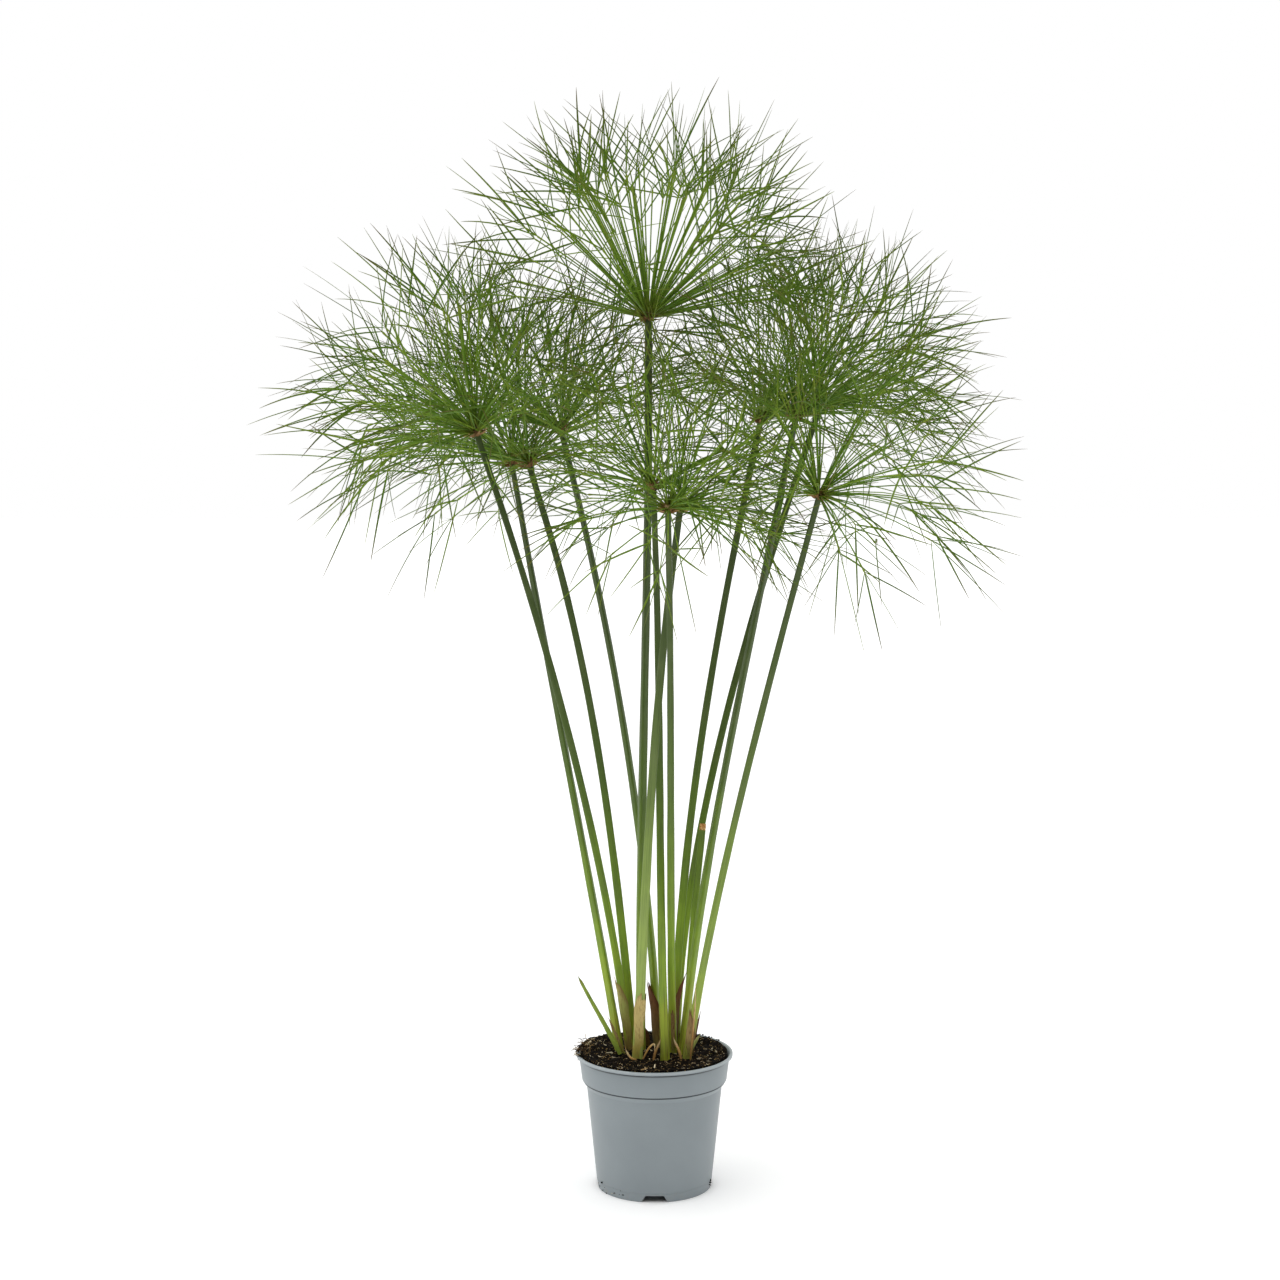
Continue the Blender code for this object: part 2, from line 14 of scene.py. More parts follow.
import bmesh
import bpy
import numpy as np
from bpy.types import Material, Mesh, Node, NodeSocket, NodeTree, Object
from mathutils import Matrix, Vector


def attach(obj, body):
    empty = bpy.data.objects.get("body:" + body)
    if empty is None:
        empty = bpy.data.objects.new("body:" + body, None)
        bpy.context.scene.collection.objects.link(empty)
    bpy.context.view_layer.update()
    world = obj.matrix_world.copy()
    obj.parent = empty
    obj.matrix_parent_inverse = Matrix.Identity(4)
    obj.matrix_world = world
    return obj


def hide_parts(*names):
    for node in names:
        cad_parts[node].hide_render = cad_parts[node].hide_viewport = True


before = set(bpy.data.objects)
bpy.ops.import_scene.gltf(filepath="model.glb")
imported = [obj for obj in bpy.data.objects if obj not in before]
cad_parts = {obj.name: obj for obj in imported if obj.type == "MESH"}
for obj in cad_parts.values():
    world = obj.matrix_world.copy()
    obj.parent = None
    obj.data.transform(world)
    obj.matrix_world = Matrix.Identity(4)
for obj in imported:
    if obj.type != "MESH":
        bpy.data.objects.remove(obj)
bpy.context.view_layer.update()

LOG = logging.getLogger("potted_papyrus")
MM = 0.001
STRIP_WALL = 0.0003  # how thick sheaths, leaves and scales are, in metres
WELD = 0.000001  # points closer than this are merged, in metres
CORNER_STEPS = 4  # segments in a rounded corner of a profile
FLAT_SHARE = 0.72  # how far a stem's flat sides are from its middle, in radii of its corners
SQUARENESS = 8  # how sharply its flat sides meet its rounded corners
RIGHT = np.array((1.0, 0.0, 0.0))
BACK = np.array((0.0, 1.0, 0.0))
UP = np.array((0.0, 0.0, 1.0))
GOLDEN_ANGLE = math.pi * (3 - math.sqrt(5))  # directions that turn on by this are spread evenly

Array = np.ndarray
Pair = tuple[float, float]
Triple = tuple[float, float, float]
Feeds = dict[str | int, object]
NodeAdder = Callable[..., Node]
Ramp = tuple[tuple[float, str], ...]
Outline = tuple[Pair, ...]  # corners: how far across and how far through
Profile = tuple[Triple, ...]  # share of the length, half width and half depth


class Mark(Enum):
    """Names of the mesh attributes that the finishes read."""

    ALONG = "along"  # 0 at a strand's root and 1 at its tip
    TINT = "tint"  # a random value for each strand, crumb or blade; on the pot, 1 where shade is painted
    STRAIGHT = "straight"  # where a point of a stem or blade would be if it were straight, in metres


class Slot(Enum):
    """The record's material slots. No piece here takes its finish from them."""

    POT = "pot_plastic"
    SOIL = "potting_soil"
    CULM = "culm_green"
    CUT = "cut_culm"
    UMBEL = "umbel_green"
    LEAF = "young_leaf"
    HUSK = "dry_husk"


# -------- helpers


def linear_colour(hex_value: str) -> tuple[float, float, float, float]:
    """Turns an sRGB hex colour to linear light.

    Args:
        hex_value: the colour, as #rrggbb.

    Returns:
        Red, green, blue and an alpha of 1.
    """
    channels = [int(hex_value[start:start + 2], 16) / 255 for start in (1, 3, 5)]
    red, green, blue = (
        part / 12.92 if part <= 0.04045 else ((part + 0.055) / 1.055) ** 2.4 for part in channels
    )
    return red, green, blue, 1.0


def per_mm(size: float) -> float:
    """The scale of a pattern that repeats about every so many millimetres."""
    return 1 / (size * MM)


def feed(tree: NodeTree, node: Node, inputs: Feeds) -> None:
    """Sets or links some inputs of a node.

    Args:
        tree: the node's tree.
        node: the node.
        inputs: by input name or number, a value, a hex colour, or a node or socket to link from.
            A node gives its first output.
    """
    for name, value in inputs.items():
        if isinstance(value, Node):
            value = next(socket for socket in value.outputs if socket.enabled)
        if isinstance(value, NodeSocket):
            tree.links.new(value, node.inputs[name])
            continue
        node.inputs[name].default_value = linear_colour(value) if isinstance(value, str) else value


def add_node(
    tree: NodeTree, kind: str, inputs: Feeds | None = None, stops: Ramp = (), **settings: object
) -> Node:
    """Adds one node.

    Args:
        tree: the tree to add it to.
        kind: the shader node's type, without its prefix.
        inputs: what feeds its inputs.
        stops: for a colour ramp, its positions and hex colours.
        **settings: the node's own properties.

    Returns:
        The new node.
    """
    node = tree.nodes.new(f"ShaderNode{kind}")
    for name, value in settings.items():
        setattr(node, name, value)
    feed(tree, node, inputs or {})
    for number, (position, colour) in enumerate(stops):
        elements = node.color_ramp.elements
        element = elements[number] if number < 2 else elements.new(position)
        element.position = position
        element.color = linear_colour(colour)
    return node


def deselect_all() -> None:
    """Leaves nothing selected, since an operator acts on all that is."""
    for obj in bpy.context.selected_objects:
        obj.select_set(False)


def activate(obj: Object) -> None:
    """Makes one object the only one that operators act on.

    Args:
        obj: the object.
    """
    deselect_all()
    obj.select_set(True)
    bpy.context.view_layer.objects.active = obj


def start_from(kind: str, name: str, **settings: object) -> Object:
    """Adds a primitive to shape a piece from, with nothing else selected.

    Args:
        kind: the primitive, such as cube or grid.
        name: the object's name.
        **settings: the operator's own settings.

    Returns:
        The new object.
    """
    deselect_all()
    getattr(bpy.ops.mesh, f"primitive_{kind}_add")(**settings)
    obj = bpy.context.object
    obj.name = name
    return obj


def choose(obj: Object, kind: str, wanted: Callable[[Array], bool]) -> None:
    """Selects some edges or faces of the mesh in edit mode, and nothing else.

    Args:
        obj: the object that is being edited.
        kind: EDGE or FACE.
        wanted: a test of the places of an edge's or face's corners, one row each.
    """
    bpy.ops.mesh.select_mode(type=kind)
    bpy.ops.mesh.select_all(action="DESELECT")
    mesh = bmesh.from_edit_mesh(obj.data)
    for item in mesh.edges if kind == "EDGE" else mesh.faces:
        item.select_set(wanted(np.array([vert.co for vert in item.verts])))
    bmesh.update_edit_mesh(obj.data)


def apply_modifier(obj: Object, kind: str, **settings: object) -> None:
    """Adds a modifier to obj and applies it.

    Args:
        obj: the object to change.
        kind: the modifier's type.
        **settings: the modifier's own properties.
    """
    activate(obj)
    modifier = obj.modifiers.new(kind.lower(), kind)
    for name, value in settings.items():
        setattr(modifier, name, value)
    bpy.ops.object.modifier_apply(modifier=modifier.name)


def points_of(mesh: Mesh) -> Array:
    """Reads the places of a mesh's vertices.

    Args:
        mesh: the mesh.

    Returns:
        The places, one row each.
    """
    places = np.empty(len(mesh.vertices) * 3)
    mesh.vertices.foreach_get("co", places)
    return places.reshape(-1, 3)


def move_points(mesh: Mesh, places: Array) -> None:
    """Moves a mesh's vertices to new places."""
    mesh.vertices.foreach_set("co", places.ravel())
    mesh.update()


def set_mark(mesh: Mesh, mark: Mark, values: Array) -> None:
    """Stores a number or a vector at each vertex for the finishes.

    Args:
        mesh: the mesh to mark.
        mark: the attribute's name.
        values: one number, or one row of three, for each vertex.
    """
    vector = values.ndim == 2
    made = mesh.attributes.new(mark.value, "FLOAT_VECTOR" if vector else "FLOAT", "POINT")
    made.data.foreach_set("vector" if vector else "value", values.astype(np.float32).ravel())


def mesh_object(name: str, points: Array, faces: Array, marks: dict[Mark, Array]) -> Object:
    """Makes an object from arrays.

    Args:
        name: the object's name.
        points: its points, one row each.
        faces: the points of each face, one row each.
        marks: what is stored at each point for the finishes.

    Returns:
        The new object.
    """
    mesh = bpy.data.meshes.new(name)
    mesh.from_pydata(points.tolist(), [], faces.tolist())
    for mark, values in marks.items():
        set_mark(mesh, mark, values)
    obj = bpy.data.objects.new(name, mesh)
    bpy.context.scene.collection.objects.link(obj)
    return obj


def around(angles: Array, side: Array = RIGHT, depth: Array = BACK) -> Array:
    """Directions about a line.

    Args:
        angles: the angles in radians.
        side: the direction at angle 0.
        depth: the direction a quarter turn on.

    Returns:
        The direction at each angle, one row each.
    """
    return side * np.cos(angles)[:, None] + depth * np.sin(angles)[:, None]


def smooth_step(values: Array) -> Array:
    """Eases values from 0 to 1, clamped at both ends."""
    values = np.clip(values, 0, 1)
    return values * values * (3 - 2 * values)


def unit(vectors: Array) -> Array:
    """Vectors of any shape, scaled to length 1."""
    return vectors / np.maximum(np.linalg.norm(vectors, axis=-1, keepdims=True), 1e-12)


def curve_through(values: Array, shares: Array) -> Array:
    """Reads a smooth curve through evenly spaced values.

    Args:
        values: the values, one row each.
        shares: where to read it, from 0 at the first value to 1 at the last.

    Returns:
        The curve's values, one row for each share.
    """
    last = len(values) - 1
    place = np.clip(shares, 0, 1) * last
    low = np.minimum(place.astype(int), last - 1)
    padded = np.vstack([2 * values[0] - values[1], values, 2 * values[-1] - values[-2]])
    before, first, second, after = (padded[low + step] for step in range(4))
    part = (place - low)[:, None]
    return 0.5 * (
        2 * first
        + (second - before) * part
        + (2 * before - 5 * first + 4 * second - after) * part ** 2
        + (3 * first - before - 3 * second + after) * part ** 3
    )


def walk_rings(name: str, rings: Sequence[Pair], sides: int) -> Object:
    """Draws a turned wall from a circle that is extruded and resized ring by ring, and closes it.

    Args:
        name: the new object's name.
        rings: the radius and height of each ring, in metres, along the wall.
        sides: the number of sides all round.

    Returns:
        The closed object, with its normals out.
    """
    radius, height = rings[0]
    obj = start_from("circle", name, vertices=sides, radius=radius, location=(0, 0, height))
    bpy.ops.object.transform_apply()
    bpy.ops.object.mode_set(mode="EDIT")
    bpy.ops.mesh.select_mode(type="EDGE")
    bpy.ops.mesh.select_all(action="SELECT")
    for next_radius, next_height in rings[1:]:
        rise = (0, 0, next_height - height)
        bpy.ops.mesh.extrude_edges_move(TRANSFORM_OT_translate={"value": rise})
        growth = next_radius / radius
        centre = (0, 0, next_height)
        bpy.ops.transform.resize(value=(growth, growth, 1), center_override=centre)
        radius, height = next_radius, next_height
    bpy.ops.mesh.select_all(action="SELECT")
    bpy.ops.mesh.remove_doubles(threshold=WELD)
    bpy.ops.mesh.fill_holes(sides=0)
    bpy.ops.mesh.select_all(action="SELECT")
    bpy.ops.mesh.normals_make_consistent(inside=False)
    bpy.ops.object.mode_set(mode="OBJECT")
    return obj


def rounded_profile(corners: Sequence[Triple]) -> list[Pair]:
    """Rounds the corners of a profile.

    Args:
        corners: radius, height and how far the rounding reaches each way, all in metres.

    Returns:
        The radius and height of each ring.
    """
    places = [Vector(corner[:2]) for corner in corners]
    rings = []
    for number, (here, corner) in enumerate(zip(places, corners)):
        reach = corner[2]
        if not reach or number in (0, len(corners) - 1):
            rings.append(tuple(here))
            continue
        start = here + (places[number - 1] - here).normalized() * reach
        end = here + (places[number + 1] - here).normalized() * reach
        for step in range(CORNER_STEPS + 1):
            share = step / CORNER_STEPS
            rings.append(tuple(start.lerp(here, share).lerp(here.lerp(end, share), share)))
    return rings


# -------- finishes


@dataclass(frozen=True)
class Finish:
    """What one real material looks like. Its pattern is drawn by paint()."""

    name: str
    roughness: float
    ior: float = 1.45
    specular: float = 0.5

    def material(self) -> Material:
        """Makes the material the first time that it is asked for.

        Returns:
            The material.
        """
        found = bpy.data.materials.get(self.name)
        if found:
            return found
        made = bpy.data.materials.new(self.name)
        made.use_nodes = True
        tree = made.node_tree
        shader = tree.nodes["Principled BSDF"]
        feed(tree, shader, {
            "Roughness": self.roughness, "IOR": self.ior, "Specular IOR Level": self.specular})
        feed(tree, shader, self.paint(partial(add_node, tree)))
        return made

    def paint(self, add: NodeAdder) -> Feeds:
        """Adds the nodes of the finish.

        Args:
            add: adds a node to the material.

        Returns:
            What feeds each input of the shader.
        """
        raise NotImplementedError


@dataclass(frozen=True)
class MouldedPolypropylene(Finish):
    """Injection-moulded polypropylene: an even blue-grey with a satin skin from the eroded mould.

    The eye sees a soft broad sheen, a very fine grain and faint cloudy flow, with some dust low down,
    painted shade in undercuts and underneath, and a lip paler from scuffing and a painted highlight.
    """

    name: str = "moulded_polypropylene_blue_grey"
    roughness: float = 0.42
    ior: float = 1.49
    pale: str = "#8b9498"
    deep: str = "#868f93"
    dust: str = "#8d877c"
    # the paler top of the lip: scuffing, and a painted highlight
    scuffed_highlight: str = "#b9c1c4"
    # the colour of the painted shade in the undercuts and underneath
    painted_shade: str = "#2b3134"
    flow_mm: float = 55.0
    speck_mm: float = 6.0
    grain_mm: float = 0.8  # the mould's grain is about 0.1 mm, drawn coarser so that it shows
    dust_height: float = 0.012
    lip_low: float = 0.1436
    lip_high: float = 0.1456

    def paint(self, add: NodeAdder) -> Feeds:
        """Adds cloudy flow, a lip paler from scuffing and a painted highlight, dust above the foot,
        painted shade in the undercuts and underneath, and a fine grain.

        Args:
            add: adds a node to the material.

        Returns:
            What feeds each input of the shader.
        """
        place = add("TexCoord").outputs["Object"]
        height = add("SeparateXYZ", {"Vector": place}).outputs["Z"]
        flow = add("TexNoise", {
            "Vector": place, "Scale": per_mm(self.flow_mm), "Detail": 3.0, "Roughness": 0.5})
        colour = add("ValToRGB", {"Fac": flow}, stops=((0.35, self.deep), (0.65, self.pale)))
        low = add("MapRange", {"Value": height, "From Min": self.dust_height, "From Max": 0.0})
        specks = add("TexNoise", {
            "Vector": place, "Scale": per_mm(self.speck_mm), "Detail": 6.0, "Roughness": 0.7})
        patches = add("MapRange", {
            "Value": specks, "From Min": 0.5, "From Max": 0.68, "To Max": 0.55})
        dusty = add("Math", {0: low, 1: patches}, operation="MULTIPLY")
        # The top of the lip is painted paler: partly scuffing, partly a painted highlight.
        worn = add("MapRange", {
            "Value": height, "From Min": self.lip_low, "From Max": self.lip_high, "To Max": 0.55})
        # The undercuts and the underside are darkened as painted shade.
        groove = add("Attribute", attribute_name=Mark.TINT.value).outputs["Fac"]
        undercut_shade = add("MapRange", {"Value": groove, "To Max": 0.8})
        for share, over in ((dusty, self.dust), (worn, self.scuffed_highlight), (undercut_shade, self.painted_shade)):
            colour = add("Mix", {"Factor": share, "A": colour, "B": over}, data_type="RGBA")
        gloss = add("MapRange", {
            "Value": flow, "To Min": self.roughness - 0.05, "To Max": self.roughness + 0.08})
        grain = add("TexNoise", {"Vector": place, "Scale": per_mm(self.grain_mm), "Detail": 2.0})
        bump = add("Bump", {"Strength": 0.25, "Distance": 0.06 * MM, "Height": grain})
        return {"Base Color": colour, "Roughness": gloss, "Normal": bump}


@dataclass(frozen=True)
class PottingMix(Finish):
    """Damp peat with bark and coir: red-brown and tan on crumbs, near-black painted shade in hollows."""

    name: str = "damp_peat_potting_mix"
    roughness: float = 0.92
    specular: float = 0.1
    hollow_shade: str = "#020201"
    peat: str = "#120d08"
    bark: str = "#22170e"
    fleck: str = "#a88c5c"
    crumb_mm: float = 3.2
    fleck_mm: float = 1.1

    def paint(self, add: NodeAdder) -> Feeds:
        """Adds crumbs in three browns, the darkest painted shade in the hollows, pale flecks and a rough
        bump.

        Args:
            add: adds a node to the material.

        Returns:
            What feeds each input of the shader.
        """
        place = add("TexCoord").outputs["Object"]
        crumbs = add("TexNoise", {
            "Vector": place, "Scale": per_mm(self.crumb_mm), "Detail": 7.0, "Roughness": 0.72})
        # The darkest brown sits where the bump is lowest: painted shade in the hollows.
        browns = add("ValToRGB", {"Fac": crumbs}, stops=(
            (0.36, self.hollow_shade), (0.50, self.peat), (0.64, self.bark)))
        cells = add("TexVoronoi", {
            "Vector": place, "Scale": per_mm(self.fleck_mm), "Randomness": 1.0})
        chance = add("SeparateColor", {"Color": cells.outputs["Color"]})
        few = add("MapRange", {"Value": chance, "From Min": 0.94, "From Max": 0.98, "To Max": 0.8})
        colour = add("Mix", {"Factor": few, "A": browns, "B": self.fleck}, data_type="RGBA")
        bump = add("Bump", {"Strength": 0.9, "Distance": 0.8 * MM, "Height": crumbs})
        return {"Base Color": colour, "Normal": bump}


@dataclass(frozen=True)
class LitterPieces(Finish):
    """Loose crumbs, bark chips and coir fibres: each piece one of several browns, dry and matt."""

    name: str = "coir_and_bark_litter"
    roughness: float = 0.85
    specular: float = 0.15
    browns: Ramp = (
        (0.0, "#040302"), (0.42, "#140d07"), (0.60, "#3c2a19"), (0.74, "#a5875a"), (0.92, "#f6e8c6"))
    blotch_mm: float = 1.6

    def paint(self, add: NodeAdder) -> Feeds:
        """Adds the piece's own brown, mottled a little.

        Args:
            add: adds a node to the material.

        Returns:
            What feeds each input of the shader.
        """
        tint = add("Attribute", attribute_name=Mark.TINT.value).outputs["Fac"]
        place = add("TexCoord").outputs["Object"]
        mottle = add("TexNoise", {"Vector": place, "Scale": per_mm(self.blotch_mm), "Detail": 4.0})
        shift = add("MapRange", {"Value": mottle, "To Min": -0.12, "To Max": 0.12})
        value = add("Math", {0: tint, 1: shift}, operation="ADD")
        colour = add("ValToRGB", {"Fac": value}, stops=self.browns)
        bump = add("Bump", {"Strength": 0.6, "Distance": 0.2 * MM, "Height": mottle})
        return {"Base Color": colour, "Normal": bump}


@dataclass(frozen=True)
class CulmRind(Finish):
    """The living rind of a papyrus stem: smooth and waxy, finely ribbed along its length.

    It is yellow-green where it leaves the soil and darkens to a grey-green towards the umbel.
    """

    name: str = "papyrus_culm_rind"
    roughness: float = 0.48
    ior: float = 1.43
    specular: float = 0.35
    by_height: Ramp = (
        (0.12, "#a1a82c"), (0.17, "#a1b030"), (0.24, "#89a62e"), (0.33, "#6d8828"),
        (0.43, "#526a24"), (0.55, "#4a5c28"), (0.70, "#435229"), (0.95, "#415029"))
    streak: str = "#2d3f17"
    bloom: str = "#86935c"
    pale: str = "#c3d38a"
    scar: str = "#66502e"
    foot: str = "#6b4a2e"
    stain_low: float = 0.15
    stain_high: float = 0.225
    drift_mm: float = 45.0
    rib_mm: float = 0.9  # real ribs stand about 0.3 mm apart, drawn coarser so that they show
    rib_length_mm: float = 60.0
    scar_scale: float = 0.21  # of the ribs' own pattern

    def paint(self, add: NodeAdder) -> Feeds:
        """Adds green by height, darker ribs, a pale bloom, a few scars and brown stains low down.

        Args:
            add: adds a node to the material.

        Returns:
            What feeds each input of the shader.
        """
        place = add("TexCoord").outputs["Object"]
        height = add("SeparateXYZ", {"Vector": place}).outputs["Z"]
        drift = add("TexNoise", {"Vector": place, "Scale": per_mm(self.drift_mm), "Detail": 2.0})
        offset = add("MapRange", {"Value": drift, "To Min": -0.09, "To Max": 0.09})
        level = add("Math", {0: height, 1: offset}, operation="ADD")
        colour = add("ValToRGB", {"Fac": level}, stops=self.by_height)
        straight = add("Attribute", attribute_name=Mark.STRAIGHT.value).outputs["Vector"]
        across, along = per_mm(self.rib_mm), per_mm(self.rib_length_mm)
        stretched = add("Mapping", {"Vector": straight, "Scale": (across, across, along)})
        ribs = add("TexNoise", {"Vector": stretched, "Scale": 1.0, "Detail": 3.0, "Roughness": 0.6})
        dark = add("MapRange", {"Value": ribs, "From Min": 0.48, "From Max": 0.75, "To Max": 0.55})
        tint = add("Attribute", attribute_name=Mark.TINT.value).outputs["Fac"]
        paler = add("MapRange", {"Value": height, "From Min": 0.58, "From Max": 0.25, "To Max": 0.4})
        milky = add("Math", {0: paler, 1: tint}, operation="MULTIPLY")
        waxy = add("MapRange", {"Value": drift, "From Min": 0.5, "From Max": 0.8, "To Max": 0.25})
        spots = add("TexNoise", {
            "Vector": stretched, "Scale": self.scar_scale, "Detail": 5.0, "Roughness": 0.8})
        rare = add("MapRange", {"Value": spots, "From Min": 0.70, "From Max": 0.78, "To Max": 0.7})
        low = add("MapRange", {
            "Value": height, "From Min": self.stain_high, "From Max": self.stain_low})
        stains = add("MapRange", {"Value": ribs, "From Min": 0.50, "From Max": 0.66, "To Max": 0.75})
        stained = add("Math", {0: low, 1: stains}, operation="MULTIPLY")
        for share, over in ((milky, self.pale), (dark, self.streak), (waxy, self.bloom),
                            (rare, self.scar), (stained, self.foot)):
            colour = add("Mix", {"Factor": share, "A": colour, "B": over}, data_type="RGBA")
        bump = add("Bump", {"Strength": 0.5, "Distance": 0.12 * MM, "Height": ribs})
        return {"Base Color": colour, "Normal": bump}


@dataclass(frozen=True)
class CutPith(Finish):
    """A stem end that was cut and has dried: spongy pale pith, browned at the rind."""

    name: str = "dried_papyrus_pith"
    roughness: float = 0.9
    browns: Ramp = ((0.34, "#8a4f2a"), (0.46, "#c98f4e"), (0.62, "#e2c489"))
    blotch_mm: float = 2.2
    pore_mm: float = 0.7

    def paint(self, add: NodeAdder) -> Feeds:
        """Adds spongy pores in tan and pale straw.

        Args:
            add: adds a node to the material.

        Returns:
            What feeds each input of the shader.
        """
        place = add("TexCoord").outputs["Object"]
        pores = add("TexVoronoi", {"Vector": place, "Scale": per_mm(self.pore_mm)})
        blotches = add("TexNoise", {"Vector": place, "Scale": per_mm(self.blotch_mm), "Detail": 4.0})
        colour = add("ValToRGB", {"Fac": blotches}, stops=self.browns)
        bump = add("Bump", {"Strength": 0.8, "Distance": 0.3 * MM, "Height": pores})
        return {"Base Color": colour, "Normal": bump}


@dataclass(frozen=True)
class StrandGreen(Finish):
    """Thin living leaf tissue of a ray or bracteole: fresh green, browning at its very ends."""

    roughness: float = 0.55
    ior: float = 1.42
    specular: float = 0.22
    by_length: Ramp = ((0.0, "#4f8a2c"), (1.0, "#4f8a2c"))
    # lit is a painted highlight that strands with a higher tint take; shade is painted shade in patches
    lit: str = "#83b04a"
    shade: str = "#2f5a20"
    patch_mm: float = 9.0

    def paint(self, add: NodeAdder) -> Feeds:
        """Adds green by length, a painted highlight on some strands and painted shade in long patches.

        Args:
            add: adds a node to the material.

        Returns:
            What feeds each input of the shader.
        """
        along = add("Attribute", attribute_name=Mark.ALONG.value).outputs["Fac"]
        tint = add("Attribute", attribute_name=Mark.TINT.value).outputs["Fac"]
        colour = add("ValToRGB", {"Fac": along}, stops=self.by_length)
        # Painted highlight: the higher a strand's tint, the more of the lit colour it takes.
        lit_share = add("MapRange", {"Value": tint, "From Min": 0.45, "From Max": 1.0, "To Max": 0.6})
        place = add("TexCoord").outputs["Object"]
        patches = add("TexNoise", {"Vector": place, "Scale": per_mm(self.patch_mm), "Detail": 3.0})
        # Painted shade in long patches.
        shaded_patches = add("MapRange", {
            "Value": patches, "From Min": 0.5, "From Max": 0.8, "To Max": 0.7})
        for share, over in ((lit_share, self.lit), (shaded_patches, self.shade)):
            colour = add("Mix", {"Factor": share, "A": colour, "B": over}, data_type="RGBA")
        return {"Base Color": colour}


@dataclass(frozen=True)
class DryHusk(Finish):
    """Dead papery sheath tissue: still green at its foot, then tan, and red-brown at its edges."""

    name: str = "dry_papery_husk"
    roughness: float = 0.8
    by_length: Ramp = (
        (0.0, "#93a23a"), (0.22, "#a09c4c"), (0.50, "#bba468"), (0.84, "#ab905c"), (1.0, "#6e4a30"))
    fibre: str = "#6c4226"
    fibre_mm: float = 0.8
    fibre_length_mm: float = 18.0

    def paint(self, add: NodeAdder) -> Feeds:
        """Adds brown by length, with darker fibres that also stand up in the bump.

        Args:
            add: adds a node to the material.

        Returns:
            What feeds each input of the shader.
        """
        along = add("Attribute", attribute_name=Mark.ALONG.value).outputs["Fac"]
        tint = add("Attribute", attribute_name=Mark.TINT.value).outputs["Fac"]
        place = add("TexCoord").outputs["Object"]
        colour = add("ValToRGB", {"Fac": along}, stops=self.by_length)
        across, length = per_mm(self.fibre_mm), per_mm(self.fibre_length_mm)
        stretched = add("Mapping", {"Vector": place, "Scale": (across, across, length)})
        fibres = add("TexNoise", {
            "Vector": stretched, "Scale": 1.0, "Detail": 4.0, "Roughness": 0.65})
        striped = add("MapRange", {
            "Value": fibres, "From Min": 0.51, "From Max": 0.64, "To Max": 0.7})
        browner = add("MapRange", {"Value": tint, "To Max": 0.9})
        for share in (striped, browner):
            colour = add("Mix", {"Factor": share, "A": colour, "B": self.fibre}, data_type="RGBA")
        bump = add("Bump", {"Strength": 0.7, "Distance": 0.15 * MM, "Height": fibres})
        return {"Base Color": colour, "Normal": bump}


@dataclass(frozen=True)
class PaintedFloor(Finish):
    """A smooth studio floor painted off-white, which shows hardly any texture and glows as painted light.
    """

    name: str = "painted_studio_floor"
    roughness: float = 0.7
    glow: float = 0.18  # it is lit from below as well, so that shadows stay faint
    dark_radius: float = 0.056  # but not under the pot, which leaves a painted shadow there
    glow_radius: float = 0.071  # from here out it glows fully
    pale: str = "#ffffff"
    worn: str = "#fcfcfc"
    patch_mm: float = 900.0

    def paint(self, add: NodeAdder) -> Feeds:
        """Adds two whites in very broad patches, and the glow, which is painted light.

        Args:
            add: adds a node to the material.

        Returns:
            What feeds each input of the shader.
        """
        place = add("TexCoord").outputs["Object"]
        patches = add("TexNoise", {"Vector": place, "Scale": per_mm(self.patch_mm)})
        colour = add("ValToRGB", {"Fac": patches}, stops=((0.3, self.worn), (0.7, self.pale)))
        away = add("VectorMath", {0: place}, operation="LENGTH")
        lit = add("MapRange", {
            "Value": away, "From Min": self.dark_radius, "From Max": self.glow_radius,
            "To Max": self.glow})
        return {"Base Color": colour, "Emission Color": self.pale, "Emission Strength": lit}


POT_PLASTIC = MouldedPolypropylene()
SOIL_MIX = PottingMix()
LITTER = LitterPieces()
RIND = CulmRind()
PITH = CutPith()
HUSK = DryHusk()
RAY_GREEN = StrandGreen(
    name="papyrus_ray_green", by_length=(
        (0.0, "#8a5a34"), (0.03, "#7a5c2a"), (0.07, "#5e6b1b"), (0.20, "#547717"),
        (0.55, "#60841c"), (0.85, "#6c8c22"), (1.0, "#83932e")),
    lit="#92ae3a", shade="#33500e")
BRACTEOLE_GREEN = StrandGreen(
    name="papyrus_bracteole_green", by_length=(
        (0.0, "#7f912e"), (0.06, "#5c7d1e"), (0.40, "#506f18"), (0.72, "#56641c"),
        (0.90, "#615828"), (1.0, "#6a5434")),
    lit="#80992c", shade="#30490d")
LEAF_GREEN = StrandGreen(
    name="young_leaf_green", roughness=0.42, by_length=(
        (0.0, "#a4b046"), (0.3, "#90a83c"), (0.85, "#84983a"), (0.93, "#7a6436"), (1.0, "#2c2018")),
    lit="#93aa4a", shade="#5c7c2a", patch_mm=14.0)
LEAFLET_GREEN = StrandGreen(
    name="pale_leaflet_green", roughness=0.42, by_length=(
        (0.0, "#93a83c"), (0.50, "#a8b450"), (0.75, "#d9d198"), (1.0, "#f0e8c4")),
    lit="#c6cc84", shade="#8ba040", patch_mm=8.0)
CURLED_HUSK = DryHusk(
    name="dry_curled_scale", by_length=(
        (0.0, "#9c7c3e"), (0.35, "#cfa25a"), (0.75, "#e8d4a0"), (1.0, "#bd8d4e")), fibre="#8a5a30")
TAN_HUSK = DryHusk(
    name="tan_papery_sheath", by_length=(
        (0.0, "#9aa23a"), (0.20, "#b0a24a"), (0.45, "#ccb974"), (0.9, "#cdb878"), (1.0, "#8f6238")),
    fibre="#94733f")
